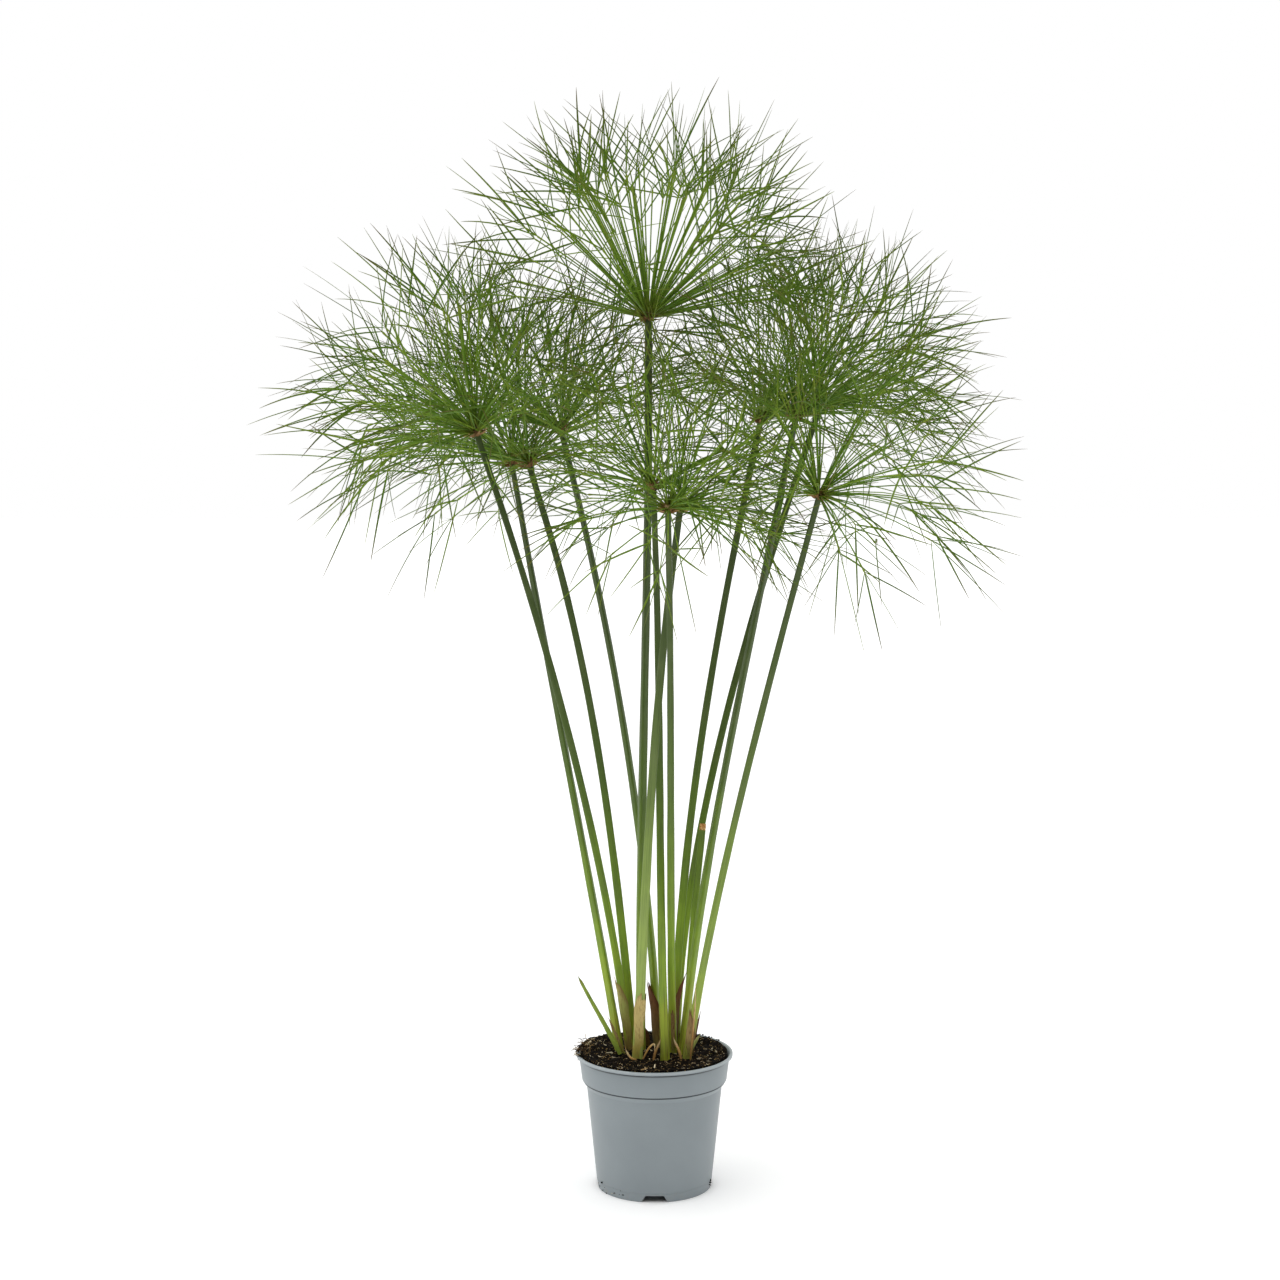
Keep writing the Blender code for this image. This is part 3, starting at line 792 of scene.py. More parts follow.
OLIVE_HUSK = DryHusk(
    name="half_green_sheath", by_length=(
        (0.0, "#8d7a3c"), (0.25, "#9a9046"), (0.60, "#b4bb68"), (0.85, "#b8ae68"), (1.0, "#84502f")),
    fibre="#7d5230")
DARK_HUSK = DryHusk(
    name="weathered_red_brown_husk", by_length=(
        (0.0, "#7f7636"), (0.35, "#84683a"), (0.80, "#834c2c"), (1.0, "#2a160e")), fibre="#54290f")
COLLAR_HUSK = DryHusk(
    name="umbel_collar_husk", by_length=(
        (0.0, "#7d6036"), (0.35, "#957344"), (0.75, "#ab8d56"), (1.0, "#cdb680")), fibre="#6b4c2e")


def finish_piece(
    obj: Object, finish: Finish, replaced: Sequence[str] = (), crease: float = 40.0
) -> None:
    """Dresses a piece, hands it to the frame and reports it.

    Args:
        obj: the piece, in its place.
        finish: what it is made of.
        replaced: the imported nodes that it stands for.
        crease: the angle in degrees above which an edge stays sharp.
    """
    activate(obj)
    bpy.ops.object.transform_apply()
    if not obj.data.materials:
        obj.data.materials.append(finish.material())
    bpy.ops.object.shade_smooth_by_angle(angle=math.radians(crease))
    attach(obj, "root")
    if replaced:
        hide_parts(*replaced)
    triangles = sum(len(face.vertices) - 2 for face in obj.data.polygons)
    LOG.info("%s: %s, %d triangles", obj.name, finish.name, triangles)


# -------- strands made from arrays


def in_metres(profile: Profile, half: float) -> Profile:
    """Turns a profile that is given in half widths to metres."""
    return tuple((share, wide * half, deep * half) for share, wide, deep in profile)


ROUND: Outline = ((1.0, 0.0), (0.0, 1.0), (-1.0, 0.0), (0.0, -1.0))
FOLDED: Outline = ((1.0, 0.45), (-1.0, 0.45), (0.0, -0.55))


@dataclass
class Strands:
    """Many thin curved strands, gathered as arrays and joined in one mesh."""

    draw: np.random.Generator
    points: list[Array] = field(default_factory=list)
    faces: list[Array] = field(default_factory=list)
    along: list[Array] = field(default_factory=list)
    tint: list[Array] = field(default_factory=list)
    count: int = 0

    def add(
        self, roots: Array, starts: Array, ends: Array, lengths: Array, profile: Profile,
        outline: Outline, tints: Array, scales: Array | float = 1.0,
    ) -> Array:
        """Adds one batch of strands.

        Args:
            roots: where each begins, one row each.
            starts: the direction in which each sets out.
            ends: the direction in which each ends.
            lengths: how long each is.
            profile: where its stations are and how wide and deep it is there.
            outline: its outline at each station.
            tints: the random value that each takes to its finish.
            scales: how many times thicker each is than the profile says.

        Returns:
            The place of each strand's tip.
        """
        shares, widths, depths = (np.array(column) for column in zip(*profile))
        starts, ends = unit(starts)[:, None], unit(ends)[:, None]
        step = shares[None, :, None]
        lines = starts * step + (ends - starts) * step ** 2 / 2
        middles = roots[:, None] + lines * lengths[:, None, None]
        forward = unit(starts + (ends - starts) * step)
        turned = np.cross(starts, unit(self.draw.normal(size=starts.shape)))
        side = unit(turned - forward * np.sum(forward * turned, axis=-1, keepdims=True))
        depth = np.cross(forward, side)
        corners = np.array(outline)
        side, depth = (way * np.reshape(scales, (-1, 1, 1)) for way in (side, depth))
        across = side[:, :, None] * (widths[:, None] * corners[:, 0])[None, :, :, None]
        through = depth[:, :, None] * (depths[:, None] * corners[:, 1])[None, :, :, None]
        rings = middles[:, :, None] + across + through
        self.points.append(rings.reshape(-1, 3))
        self.faces.append(self.joined(len(roots), len(shares), len(corners)))
        spread = np.broadcast_to(shares[None, :, None], rings.shape[:3])
        self.along.append(spread.ravel())
        self.tint.append(np.repeat(tints, len(shares) * len(corners)))
        self.count += len(roots) * len(shares) * len(corners)
        return middles[:, -1]

    def joined(self, strands: int, stations: int, sides: int) -> Array:
        """Numbers the triangles of a batch of closed tubes.

        Args:
            strands: how many tubes.
            stations: rings in each tube.
            sides: corners in each ring.

        Returns:
            The corners of each triangle, one row each.
        """
        ring = np.arange(sides)
        after = (ring + 1) % sides
        walls = []
        for station in range(stations - 1):
            low, high = station * sides, (station + 1) * sides
            walls.append(np.stack([low + ring, low + after, high + after], 1))
            walls.append(np.stack([low + ring, high + after, high + ring], 1))
        fan = np.arange(1, sides - 1)
        top = (stations - 1) * sides
        walls.append(np.stack([np.zeros_like(fan), fan + 1, fan], 1))
        walls.append(np.stack([np.full_like(fan, top), top + fan, top + fan + 1], 1))
        tube = np.vstack(walls)
        offsets = self.count + np.arange(strands) * stations * sides
        return (tube[None] + offsets[:, None, None]).reshape(-1, 3)

    def build(self, name: str) -> Object:
        """Makes the gathered strands one object.

        Args:
            name: the object's name.

        Returns:
            The new object.
        """
        marks = {Mark.ALONG: np.concatenate(self.along), Mark.TINT: np.concatenate(self.tint)}
        return mesh_object(name, np.vstack(self.points), np.vstack(self.faces), marks)


# -------- pot


@dataclass
class NurseryPot:
    """A round tapered nursery pot: rolled lip, deep rim band, chamfer, ring line and notched foot."""

    height: float = 0.147
    rim_radius: float = 0.085
    band_top_radius: float = 0.0815
    band_low_radius: float = 0.0785
    waist_radius: float = 0.0734
    base_radius: float = 0.0620
    wall: float = 0.0016
    lip_height: float = 0.0036
    lip_width: float = 0.0026
    floor_hole: float = 0.004  # the first ring of the turned wall, which is closed afterwards
    band_low: float = 0.1180
    band_step: float = 0.0016  # how deep the band's lower edge is undercut
    groove: float = 0.0013  # how tall the undercuts of the band and the lip are
    waist: float = 0.1110
    foot_height: float = 0.0090
    pad_radius: float = 0.0380
    pad_slope: float = 0.0020
    ring_line: float = 0.0091
    ring_depth: float = 0.00025
    ring_reach: float = 0.0004  # half the height of the ring line
    notch_height: float = 0.0074
    notch_top_width: float = 0.0194
    notch_low_width: float = 0.0282
    notch_depth: float = 0.012
    notch_rounding: float = 0.0006
    notch_count: int = 4
    sides: int = 160

    def outer_radius(self, height: float) -> float:
        """The radius of the tapered wall below the waist at a height."""
        return self.base_radius + (self.waist_radius - self.base_radius) * height / self.waist

    def profile(self) -> list[Pair]:
        """The wall from the middle of the floor, over the rim and down to the pad underneath.

        Returns:
            The radius and height of each ring.
        """
        wall, groove, foot, band = self.wall, self.groove, self.foot_height, self.band_low
        rim, top, low = self.rim_radius, self.band_top_radius, self.band_low_radius
        base, pad, slope = self.base_radius, self.pad_radius, self.pad_slope
        line, reach = self.ring_line, self.ring_reach
        lip_low = self.height - self.lip_height
        return rounded_profile((  # radius, height and rounding
            (self.floor_hole, wall, 0),
            (pad - wall / 2, wall, 0.0006),
            (pad + slope - wall / 2, foot + wall, 0.0006),
            (base - wall, foot + wall, 0.0012),
            (self.waist_radius - wall, self.waist, 0.0008),
            (low - wall - 0.0012, band + 0.0015, 0.0008),
            (top - wall, lip_low, 0.0012),
            (rim - self.lip_width, self.height - 0.0002, 0.0005),
            (rim, self.height, 0.0011),
            (rim, lip_low, 0.0009),
            (top - 0.0009, lip_low + 0.0003, 0.0002),
            (top - 0.0009, lip_low - groove * 0.8, 0.0002),
            (top, lip_low - groove, 0.0002),
            (top - 0.00016, lip_low - 2.2 * groove, 0),
            (low, band, 0.0004),
            (low - self.band_step, band + 0.0002, 0.0002),
            (low - self.band_step, band - groove, 0.0003),
            (low - self.band_step * 0.7, band - groove * 1.4, 0.0002),
            (self.waist_radius, self.waist, 0.0007),
            (self.outer_radius(line + reach), line + reach, 0),
            (self.outer_radius(line) - self.ring_depth, line, 0),
            (self.outer_radius(line - reach), line - reach, 0),
            (base, 0.0, 0.0004),
            (base - wall, 0.0, 0.0004),
            (base - wall, foot, 0.0006),
            (pad + slope, foot, 0.0006),
            (pad, 0.0, 0.0005),
            (self.floor_hole, 0.0, 0),
        ))

    def notch_cutter(self, number: int) -> Object:
        """Makes the wedge that cuts one notch in the skirt of the foot.

        Args:
            number: which notch, counted from the front.

        Returns:
            The cutter, in its place.
        """
        low = -0.0010
        cutter = start_from("cube", "notch_cutter", size=1)
        tall = self.notch_height - low
        slope = (self.notch_low_width - self.notch_top_width) / 2 / self.notch_height
        low_width = self.notch_top_width + 2 * tall * slope
        cutter.scale = (self.notch_top_width, self.notch_depth, tall)
        cutter.location = (0, -self.base_radius, low + tall / 2)
        bpy.ops.object.transform_apply()
        bpy.ops.object.mode_set(mode="EDIT")
        choose(cutter, "FACE", lambda corners: corners[:, 2].max() < low + 0.001)
        widen = (low_width / self.notch_top_width, 1, 1)
        bpy.ops.transform.resize(value=widen, center_override=(0, 0, low))
        bpy.ops.mesh.select_all(action="SELECT")
        bpy.ops.mesh.bevel(offset=self.notch_rounding, segments=2, affect="EDGES")
        bpy.ops.object.mode_set(mode="OBJECT")
        cutter.rotation_euler.z = math.tau * number / self.notch_count
        bpy.ops.object.transform_apply()
        return cutter

    def build(self) -> None:
        """Builds and dresses the pot."""
        pot = walk_rings("nursery_pot", self.profile(), self.sides)
        for number in range(self.notch_count):
            cutter = self.notch_cutter(number)
            apply_modifier(pot, "BOOLEAN", operation="DIFFERENCE", solver="EXACT", object=cutter)
            bpy.data.objects.remove(cutter)
        set_mark(pot.data, Mark.TINT, self.shade_marks(points_of(pot.data)))
        finish_piece(pot, POT_PLASTIC, ["pot"], crease=35)

    def shade_marks(self, places: Array) -> Array:
        """Finds the undercuts of the band and the lip and the underside, where shade is painted.

        Args:
            places: the pot's points.

        Returns:
            1 for each point in an undercut or underneath, and 0 for the others.
        """
        radius, height = np.hypot(places[:, 0], places[:, 1]), places[:, 2]
        marks = np.zeros(len(places))
        marks[(radius < self.base_radius - self.wall * 0.9) & (height < self.foot_height + 0.0003)] = 1
        for top, edge in ((self.height - self.lip_height, self.band_top_radius + 0.0003),
                          (self.band_low, self.band_low_radius - self.band_step * 0.8)):
            within = (height < top + 0.0004) & (height > top - self.groove * 1.2)
            marks[within & (radius < edge) & (radius > edge - 0.0015)] = 1
        return marks


# -------- soil


@dataclass
class SoilBed:
    """Potting mix in the pot, mounded at the plant and heaped against the left of the rim."""

    pot: NurseryPot
    top: float = 0.1385
    mound: float = 0.0030
    rise: float = 0.0120  # how far the loose soil climbs towards the pot's wall
    rise_start: float = 0.62  # of the rim's radius
    heap_height: float = 0.0058
    heap_place: Pair = (-0.060, 0.020)
    heap_width: float = 0.030
    heaped_share: float = 0.2  # of the loose pieces
    heap_scatter: float = 0.011
    lump_height: float = 0.0007
    lump_rates: Pair = (173, 211)  # waves across and from front to back, in radians a metre
    lump_phases: Pair = (1.3, 0.4)
    clods: tuple[Pair, ...] = (  # the width and height of each size of clod
        (0.011, 0.0011), (0.0055, 0.0010), (0.0028, 0.0008), (0.0016, 0.0004))
    edge_clods: float = 0.25  # how tall the clods are where the bed meets the wall
    edge_width: float = 0.004  # the width over which they grow to their full height
    gap: float = 0.0004
    rings: int = 46
    first_ring: float = 0.4  # where the first ring lies, in steps between rings
    sides: int = 200
    crumb_count: int = 5200
    crumb_size: float = 0.0003  # the smallest crumb's radius
    crumb_spread: float = 0.0012  # how much larger the largest is
    crumb_browns: Pair = (0.60, 1.60)  # of the beta spread that their browns follow
    crumb_stretch: Pair = (0.55, 1.5)
    crumb_form: Triple = (1.15, 1.15, 0.75)  # flatter than they are wide
    crumb_dents: Pair = (0.7, 1.25)
    pale_shrink: float = 0.30  # how much smaller the palest crumbs are
    fibre_count: int = 560
    tuft_count: int = 120
    straw_count: int = 46
    seed: int = 11

    def __post_init__(self) -> None:
        """Starts the random numbers of the loose pieces."""
        self.draw = np.random.default_rng(self.seed)

    def smooth_height(self, x: Array, y: Array) -> Array:
        """The height of the soil's surface without its crumbs.

        Args:
            x: places across the pot.
            y: places from front to back.

        Returns:
            The heights in metres.
        """
        spread = np.hypot(x, y) / self.pot.rim_radius
        away = np.hypot(x - self.heap_place[0], y - self.heap_place[1]) / self.heap_width
        lumps = math.prod(
            np.sin(rate * place + phase)
            for rate, place, phase in zip(self.lump_rates, (x, y), self.lump_phases))
        heap = self.heap_height * np.exp(-away ** 2)
        climb = (np.maximum(spread - self.rise_start, 0) / (1 - self.rise_start)) ** 1.5
        level = self.top + self.mound * (1 - spread ** 2) + self.rise * climb
        return level + heap + self.lump_height * lumps

    def edge_radius(self) -> float:
        """Finds where the soil's surface meets the pot's inner wall.

        Returns:
            The radius there.
        """
        pot = self.pot
        share = (self.top - pot.band_low) / (pot.height - pot.lip_height - pot.band_low)
        outer = pot.band_low_radius + (pot.band_top_radius - pot.band_low_radius) * share
        return outer - pot.wall - self.gap

    def body(self) -> Object:
        """Builds the bed itself, with a crumbly surface.

        Returns:
            The new object.
        """
        pot, gap, edge = self.pot, self.gap, self.edge_radius()
        inner = pot.wall + gap
        floor = pot.foot_height + pot.wall + gap
        steps = (max(ring, self.first_ring) for ring in range(self.rings + 1))
        surface = [(edge * step / self.rings, self.top) for step in steps]
        wall = [
            (pot.band_low_radius - inner - 0.0012, pot.band_low + 0.0015),
            (pot.waist_radius - inner, pot.waist),
            (pot.base_radius - inner, floor),
            (pot.pad_radius + pot.pad_slope, floor),
            (pot.pad_radius - inner, inner),
            (pot.floor_hole, inner),
        ]
        bed = walk_rings("potting_soil", surface + wall, self.sides)
        places = points_of(bed.data)
        on_top = places[:, 2] > self.top - 0.001
        x, y = places[on_top, 0], places[on_top, 1]
        inside = smooth_step((edge - np.hypot(x, y)) / self.edge_width)
        tall = self.edge_clods + (1 - self.edge_clods) * inside
        places[on_top, 2] = self.smooth_height(x, y) + self.crumble(x, y) * tall
        move_points(bed.data, places)
        return bed

    def crumble(self, x: Array, y: Array) -> Array:
        """The roughness of the surface: clods of several sizes with deep gaps between them.

        Args:
            x: places across the pot.
            y: places from front to back.

        Returns:
            How far each place stands above or below the smooth surface.
        """
        draw = np.random.default_rng(self.seed)
        rise = np.zeros_like(x)
        for size, height in self.clods:
            count = int((2 * self.edge_radius() / size) ** 2)
            middles = draw.uniform(-1, 1, (count, 2)) * self.edge_radius()
            nearest = np.full(len(x), np.inf)
            for start in range(0, count, 400):
                batch = middles[start:start + 400]
                away = np.hypot(x[:, None] - batch[:, 0], y[:, None] - batch[:, 1])
                nearest = np.minimum(nearest, away.min(axis=1))
            rise += height * (1 - 2 * np.clip(nearest / size, 0, 1) ** 1.5)
        return rise

    def scattered(self, count: int, reach: float) -> Array:
        """Places on the surface, some of them gathered on the heap at the left of the rim.

        Args:
            count: how many.
            reach: how far from the pot's middle they may lie.

        Returns:
            The places, one row of x and y each.
        """
        draw = self.draw
        angle = draw.uniform(0, math.tau, count)
        radius = reach * np.sqrt(draw.uniform(0, 1, count))
        places = np.stack([radius * np.cos(angle), radius * np.sin(angle)], 1)
        heaped = draw.uniform(0, 1, count) < self.heaped_share
        spots = np.array(self.heap_place) + draw.normal(0, self.heap_scatter, (count, 2))
        places[heaped] = spots[heaped]
        distance = np.linalg.norm(places, axis=1)
        return places * np.minimum(1, reach / distance)[:, None]

    def crumbs(self) -> Object:
        """Builds loose crumbs and chips on the soil, a few on the rim and some stuck to the foot.

        Returns:
            All of them as one object.
        """
        pattern = start_from("ico_sphere", "crumb_pattern", subdivisions=1, radius=1)
        shape = points_of(pattern.data)
        faces = np.array([face.vertices for face in pattern.data.polygons])
        bpy.data.objects.remove(pattern)
        draw = self.draw
        places = self.scattered(self.crumb_count, self.edge_radius() - 0.001)
        middles = np.column_stack([places, self.smooth_height(*places.T) + 0.0004])
        sizes = self.crumb_size + self.crumb_spread * draw.power(0.5, self.crumb_count) ** 2
        on_pot = self.pot_crumbs()
        middles = np.vstack([middles, on_pot[:, :3]])
        sizes = np.append(sizes, on_pot[:, 3])
        count = len(middles)
        tints = draw.beta(*self.crumb_browns, count)
        sizes = sizes * (1 - self.pale_shrink * smooth_step((tints - 0.45) / 0.25))
        stretch = draw.uniform(*self.crumb_stretch, (count, 1, 3)) * np.array(self.crumb_form)
        dented = shape[None] * stretch * draw.uniform(*self.crumb_dents, (count, len(shape), 1))
        spin = draw.uniform(0, math.tau, count)
        cosine, sine = np.cos(spin)[:, None], np.sin(spin)[:, None]
        turned = np.stack([
            dented[:, :, 0] * cosine - dented[:, :, 1] * sine,
            dented[:, :, 0] * sine + dented[:, :, 1] * cosine,
            dented[:, :, 2]], 2)
        points = middles[:, None] + turned * sizes[:, None, None]
        corners = faces[None] + (np.arange(count) * len(shape))[:, None, None]
        marks = {Mark.TINT: np.repeat(tints, len(shape))}
        return mesh_object("soil_crumbs", points.reshape(-1, 3), corners.reshape(-1, 3), marks)

    def pot_crumbs(self) -> Array:
        """Places crumbs on the rim and on the outside of the foot.

        Returns:
            The place and size of each, one row each.
        """
        pot, draw = self.pot, self.draw
        rows = []
        for low, high, count, on_rim in (  # a span in degrees, how many, and on the rim or the foot
            (120, 198, 130, True),
            (28, 62, 16, True),
            (190, 240, 12, False),
            (341, 346, 12, False),
            (20, 150, 12, False),
        ):
            for _ in range(count):
                angle = draw.uniform(math.radians(low), math.radians(high))
                size = draw.uniform(0.0003, 0.0015)
                height = pot.height + 0.4 * size
                radius = pot.rim_radius - draw.uniform(0.0, pot.lip_width + 0.001)
                if not on_rim:
                    size = min(size, 0.0010)
                    height = max(draw.uniform(0.0008, 0.011), 1.5 * size)
                    radius = pot.outer_radius(height) + 0.3 * size
                rows.append((radius * math.cos(angle), radius * math.sin(angle), height, size))
        return np.array(rows)

    def lying(self, count: int, margin: float, lift: float) -> tuple[Array, Array]:
        """Places and headings of strands that lie on the soil.

        Args:
            count: how many.
            margin: how far they keep from the soil's edge.
            lift: how far they lie above the smooth surface.

        Returns:
            Where each begins and its level direction, one row each.
        """
        places = self.scattered(count, self.edge_radius() - margin)
        flat = around(self.draw.uniform(0, math.tau, count))
        return np.column_stack([places, self.smooth_height(*places.T) + lift]), flat

    def fibres(self) -> Object:
        """Builds the coir fibres and straws that lie on the soil, and the tuft on the rim.

        Returns:
            All of them as one object.
        """
        draw, count = self.draw, self.fibre_count
        litter = Strands(draw)
        roots, flat = self.lying(count, 0.002, 0.0005)
        lengths = draw.uniform(0.0015, 0.007, count)
        rise = UP * draw.uniform(0.05, 0.45, count)[:, None]
        bend = draw.normal(0, 0.5, (count, 3)) * np.array((1, 1, 0))
        profile = ((0.0, 0.00018, 0.00016), (0.3, 0.00026, 0.00020), (0.7, 0.00024, 0.00018),
                   (1.0, 0.00012, 0.00012))
        tints = np.clip(draw.normal(0.80, 0.14, count), 0.5, 1.0)
        litter.add(roots, flat + rise, flat + bend - rise, lengths, profile, ROUND, tints)
        self.add_rim_tuft(litter)
        self.add_straws(litter)
        return litter.build("soil_fibres")

    def add_rim_tuft(self, litter: Strands) -> None:
        """Adds the untidy tuft of fibres that hangs over the rim at the left.

        Args:
            litter: the strands to add to.
        """
        draw, count = self.draw, self.tuft_count
        outward = around(draw.uniform(math.radians(160), math.radians(196), count))
        inward = draw.uniform(-0.0005, 0.016, count)
        roots = outward * (self.pot.rim_radius - inward)[:, None]
        bed = self.smooth_height(roots[:, 0], roots[:, 1])
        roots[:, 2] = np.where(inward < 0.004, self.pot.height, bed) + draw.uniform(0, 0.003, count)
        starts = outward * draw.uniform(0.0, 1.0, (count, 1)) + draw.normal(0, 0.6, (count, 3)) + UP * 0.5
        ends = starts + draw.normal(0, 0.4, (count, 3)) - UP * 0.9
        lengths = draw.uniform(0.002, 0.0100, count)
        profile = ((0.0, 0.00022, 0.00020), (0.5, 0.00030, 0.00026), (1.0, 0.00012, 0.00012))
        tints = np.clip(draw.normal(0.64, 0.14, count), 0.2, 0.9)
        litter.add(roots, starts, ends, lengths, profile, ROUND, tints)

    def add_straws(self, litter: Strands) -> None:
        """Adds flat pale straws and bits of old sheath, broader than the fibres.

        Args:
            litter: the strands to add to.
        """
        draw, count = self.draw, self.straw_count
        roots, flat = self.lying(count, 0.006, 0.001)
        starts = flat + UP * draw.uniform(0.0, 0.35, (count, 1))
        ends = flat + draw.normal(0, 0.25, (count, 3)) - UP * 0.2
        profile = ((0.0, 0.0003, 0.00015), (0.2, 0.0007, 0.0002), (0.75, 0.0006, 0.0002),
                   (1.0, 0.0002, 0.0001))
        lengths = draw.uniform(0.005, 0.012, count)
        litter.add(roots, starts, ends, lengths, profile, FOLDED, draw.uniform(0.7, 1.0, count))

    def build(self) -> None:
        """Builds and dresses the bed, its crumbs and its fibres."""
        finish_piece(self.body(), SOIL_MIX, ["soil"], crease=60)
        finish_piece(self.crumbs(), LITTER, crease=20)
        finish_piece(self.fibres(), LITTER, crease=50)


# -------- stems


@dataclass
class StemLine:
    """The middle line of a packed stem or blade: its stations, how thick it is and how it is turned."""

    middles: Array
    radii: Array
    turns: Array

    @classmethod
    def of_node(cls, node: str, stations: int) -> "StemLine":
        """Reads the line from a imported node, whose corners lie in rings along it.

        Args:
            node: the node's name.
            stations: how many rings it has.

        Returns:
            The line.
        """
        corners = np.unique(np.round(points_of(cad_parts[node].data), 6), axis=0)
        low, high = corners[corners[:, 2].argmin()], corners[corners[:, 2].argmax()]
        order = np.argsort((corners - low) @ (high - low))
        rings = np.array_split(corners[order], stations)
        middles = np.array([ring.mean(axis=0) for ring in rings])
        radii = np.array([np.linalg.norm(ring - ring.mean(axis=0), axis=1).mean() for ring in rings])
        line = cls(middles, radii, np.zeros(stations))
        shares = np.linspace(0, 1, stations)
        _, _, side, depth = line.frame_at(shares)
        for number, ring in enumerate(rings):
            away = ring - middles[number]
            angle = np.arctan2(away @ depth[number], away @ side[number])
            line.turns[number] = np.angle(np.exp(3j * angle).sum()) / 3
        line.turns = np.unwrap(line.turns, period=math.tau / 3)
        return line

    def frame_at(self, shares: Array) -> tuple[Array, Array, Array, Array]:
        """Reads the line at some shares of its length.

        Args:
            shares: from 0 at its foot to 1 at its top, or a little past it.

        Returns:
            The middles, and the unit directions along the line, to its side and through its depth.
        """
        step = 0.002
        middles = curve_through(self.middles, shares)
        ahead = curve_through(self.middles, np.minimum(shares + step, 1))
        behind = curve_through(self.middles, np.minimum(shares, 1) - step)
        forward = unit(ahead - behind)
        past = np.maximum(shares - 1, 0)[:, None] * self.length
        middles = middles + forward * past
        side = unit(np.cross(BACK, forward))
        return middles, forward, side, np.cross(forward, side)

    def outline_at(self, shares: Array, angles: Array) -> Array:
        """How far the rounded three-sided rind is from the middle, at some angles about the line.

        Args:
            shares: the shares of the line's length.
            angles: the angles in radians, from the line's side direction.

        Returns:
            The distances in metres.
        """
        third = math.tau / 3
        from_corner = np.abs((angles - self.turn_at(shares) + third / 2) % third - third / 2)
        flat = FLAT_SHARE / np.cos(third / 2 - from_corner)
        return self.radius_at(shares) * (flat ** -SQUARENESS + 1) ** (-1 / SQUARENESS)

    @property
    def length(self) -> float:
        """How long the line is, from station to station."""
        return float(np.linalg.norm(np.diff(self.middles, axis=0), axis=1).sum())

    def radius_at(self, shares: Array) -> Array:
        """The radius of the circle through the corners at some shares of the length."""
        return np.interp(shares, np.linspace(0, 1, len(self.radii)), self.radii)

    def turn_at(self, shares: Array) -> Array:
        """How far the corners are turned about the line at some shares of the length."""
        return np.interp(shares, np.linspace(0, 1, len(self.turns)), self.turns)


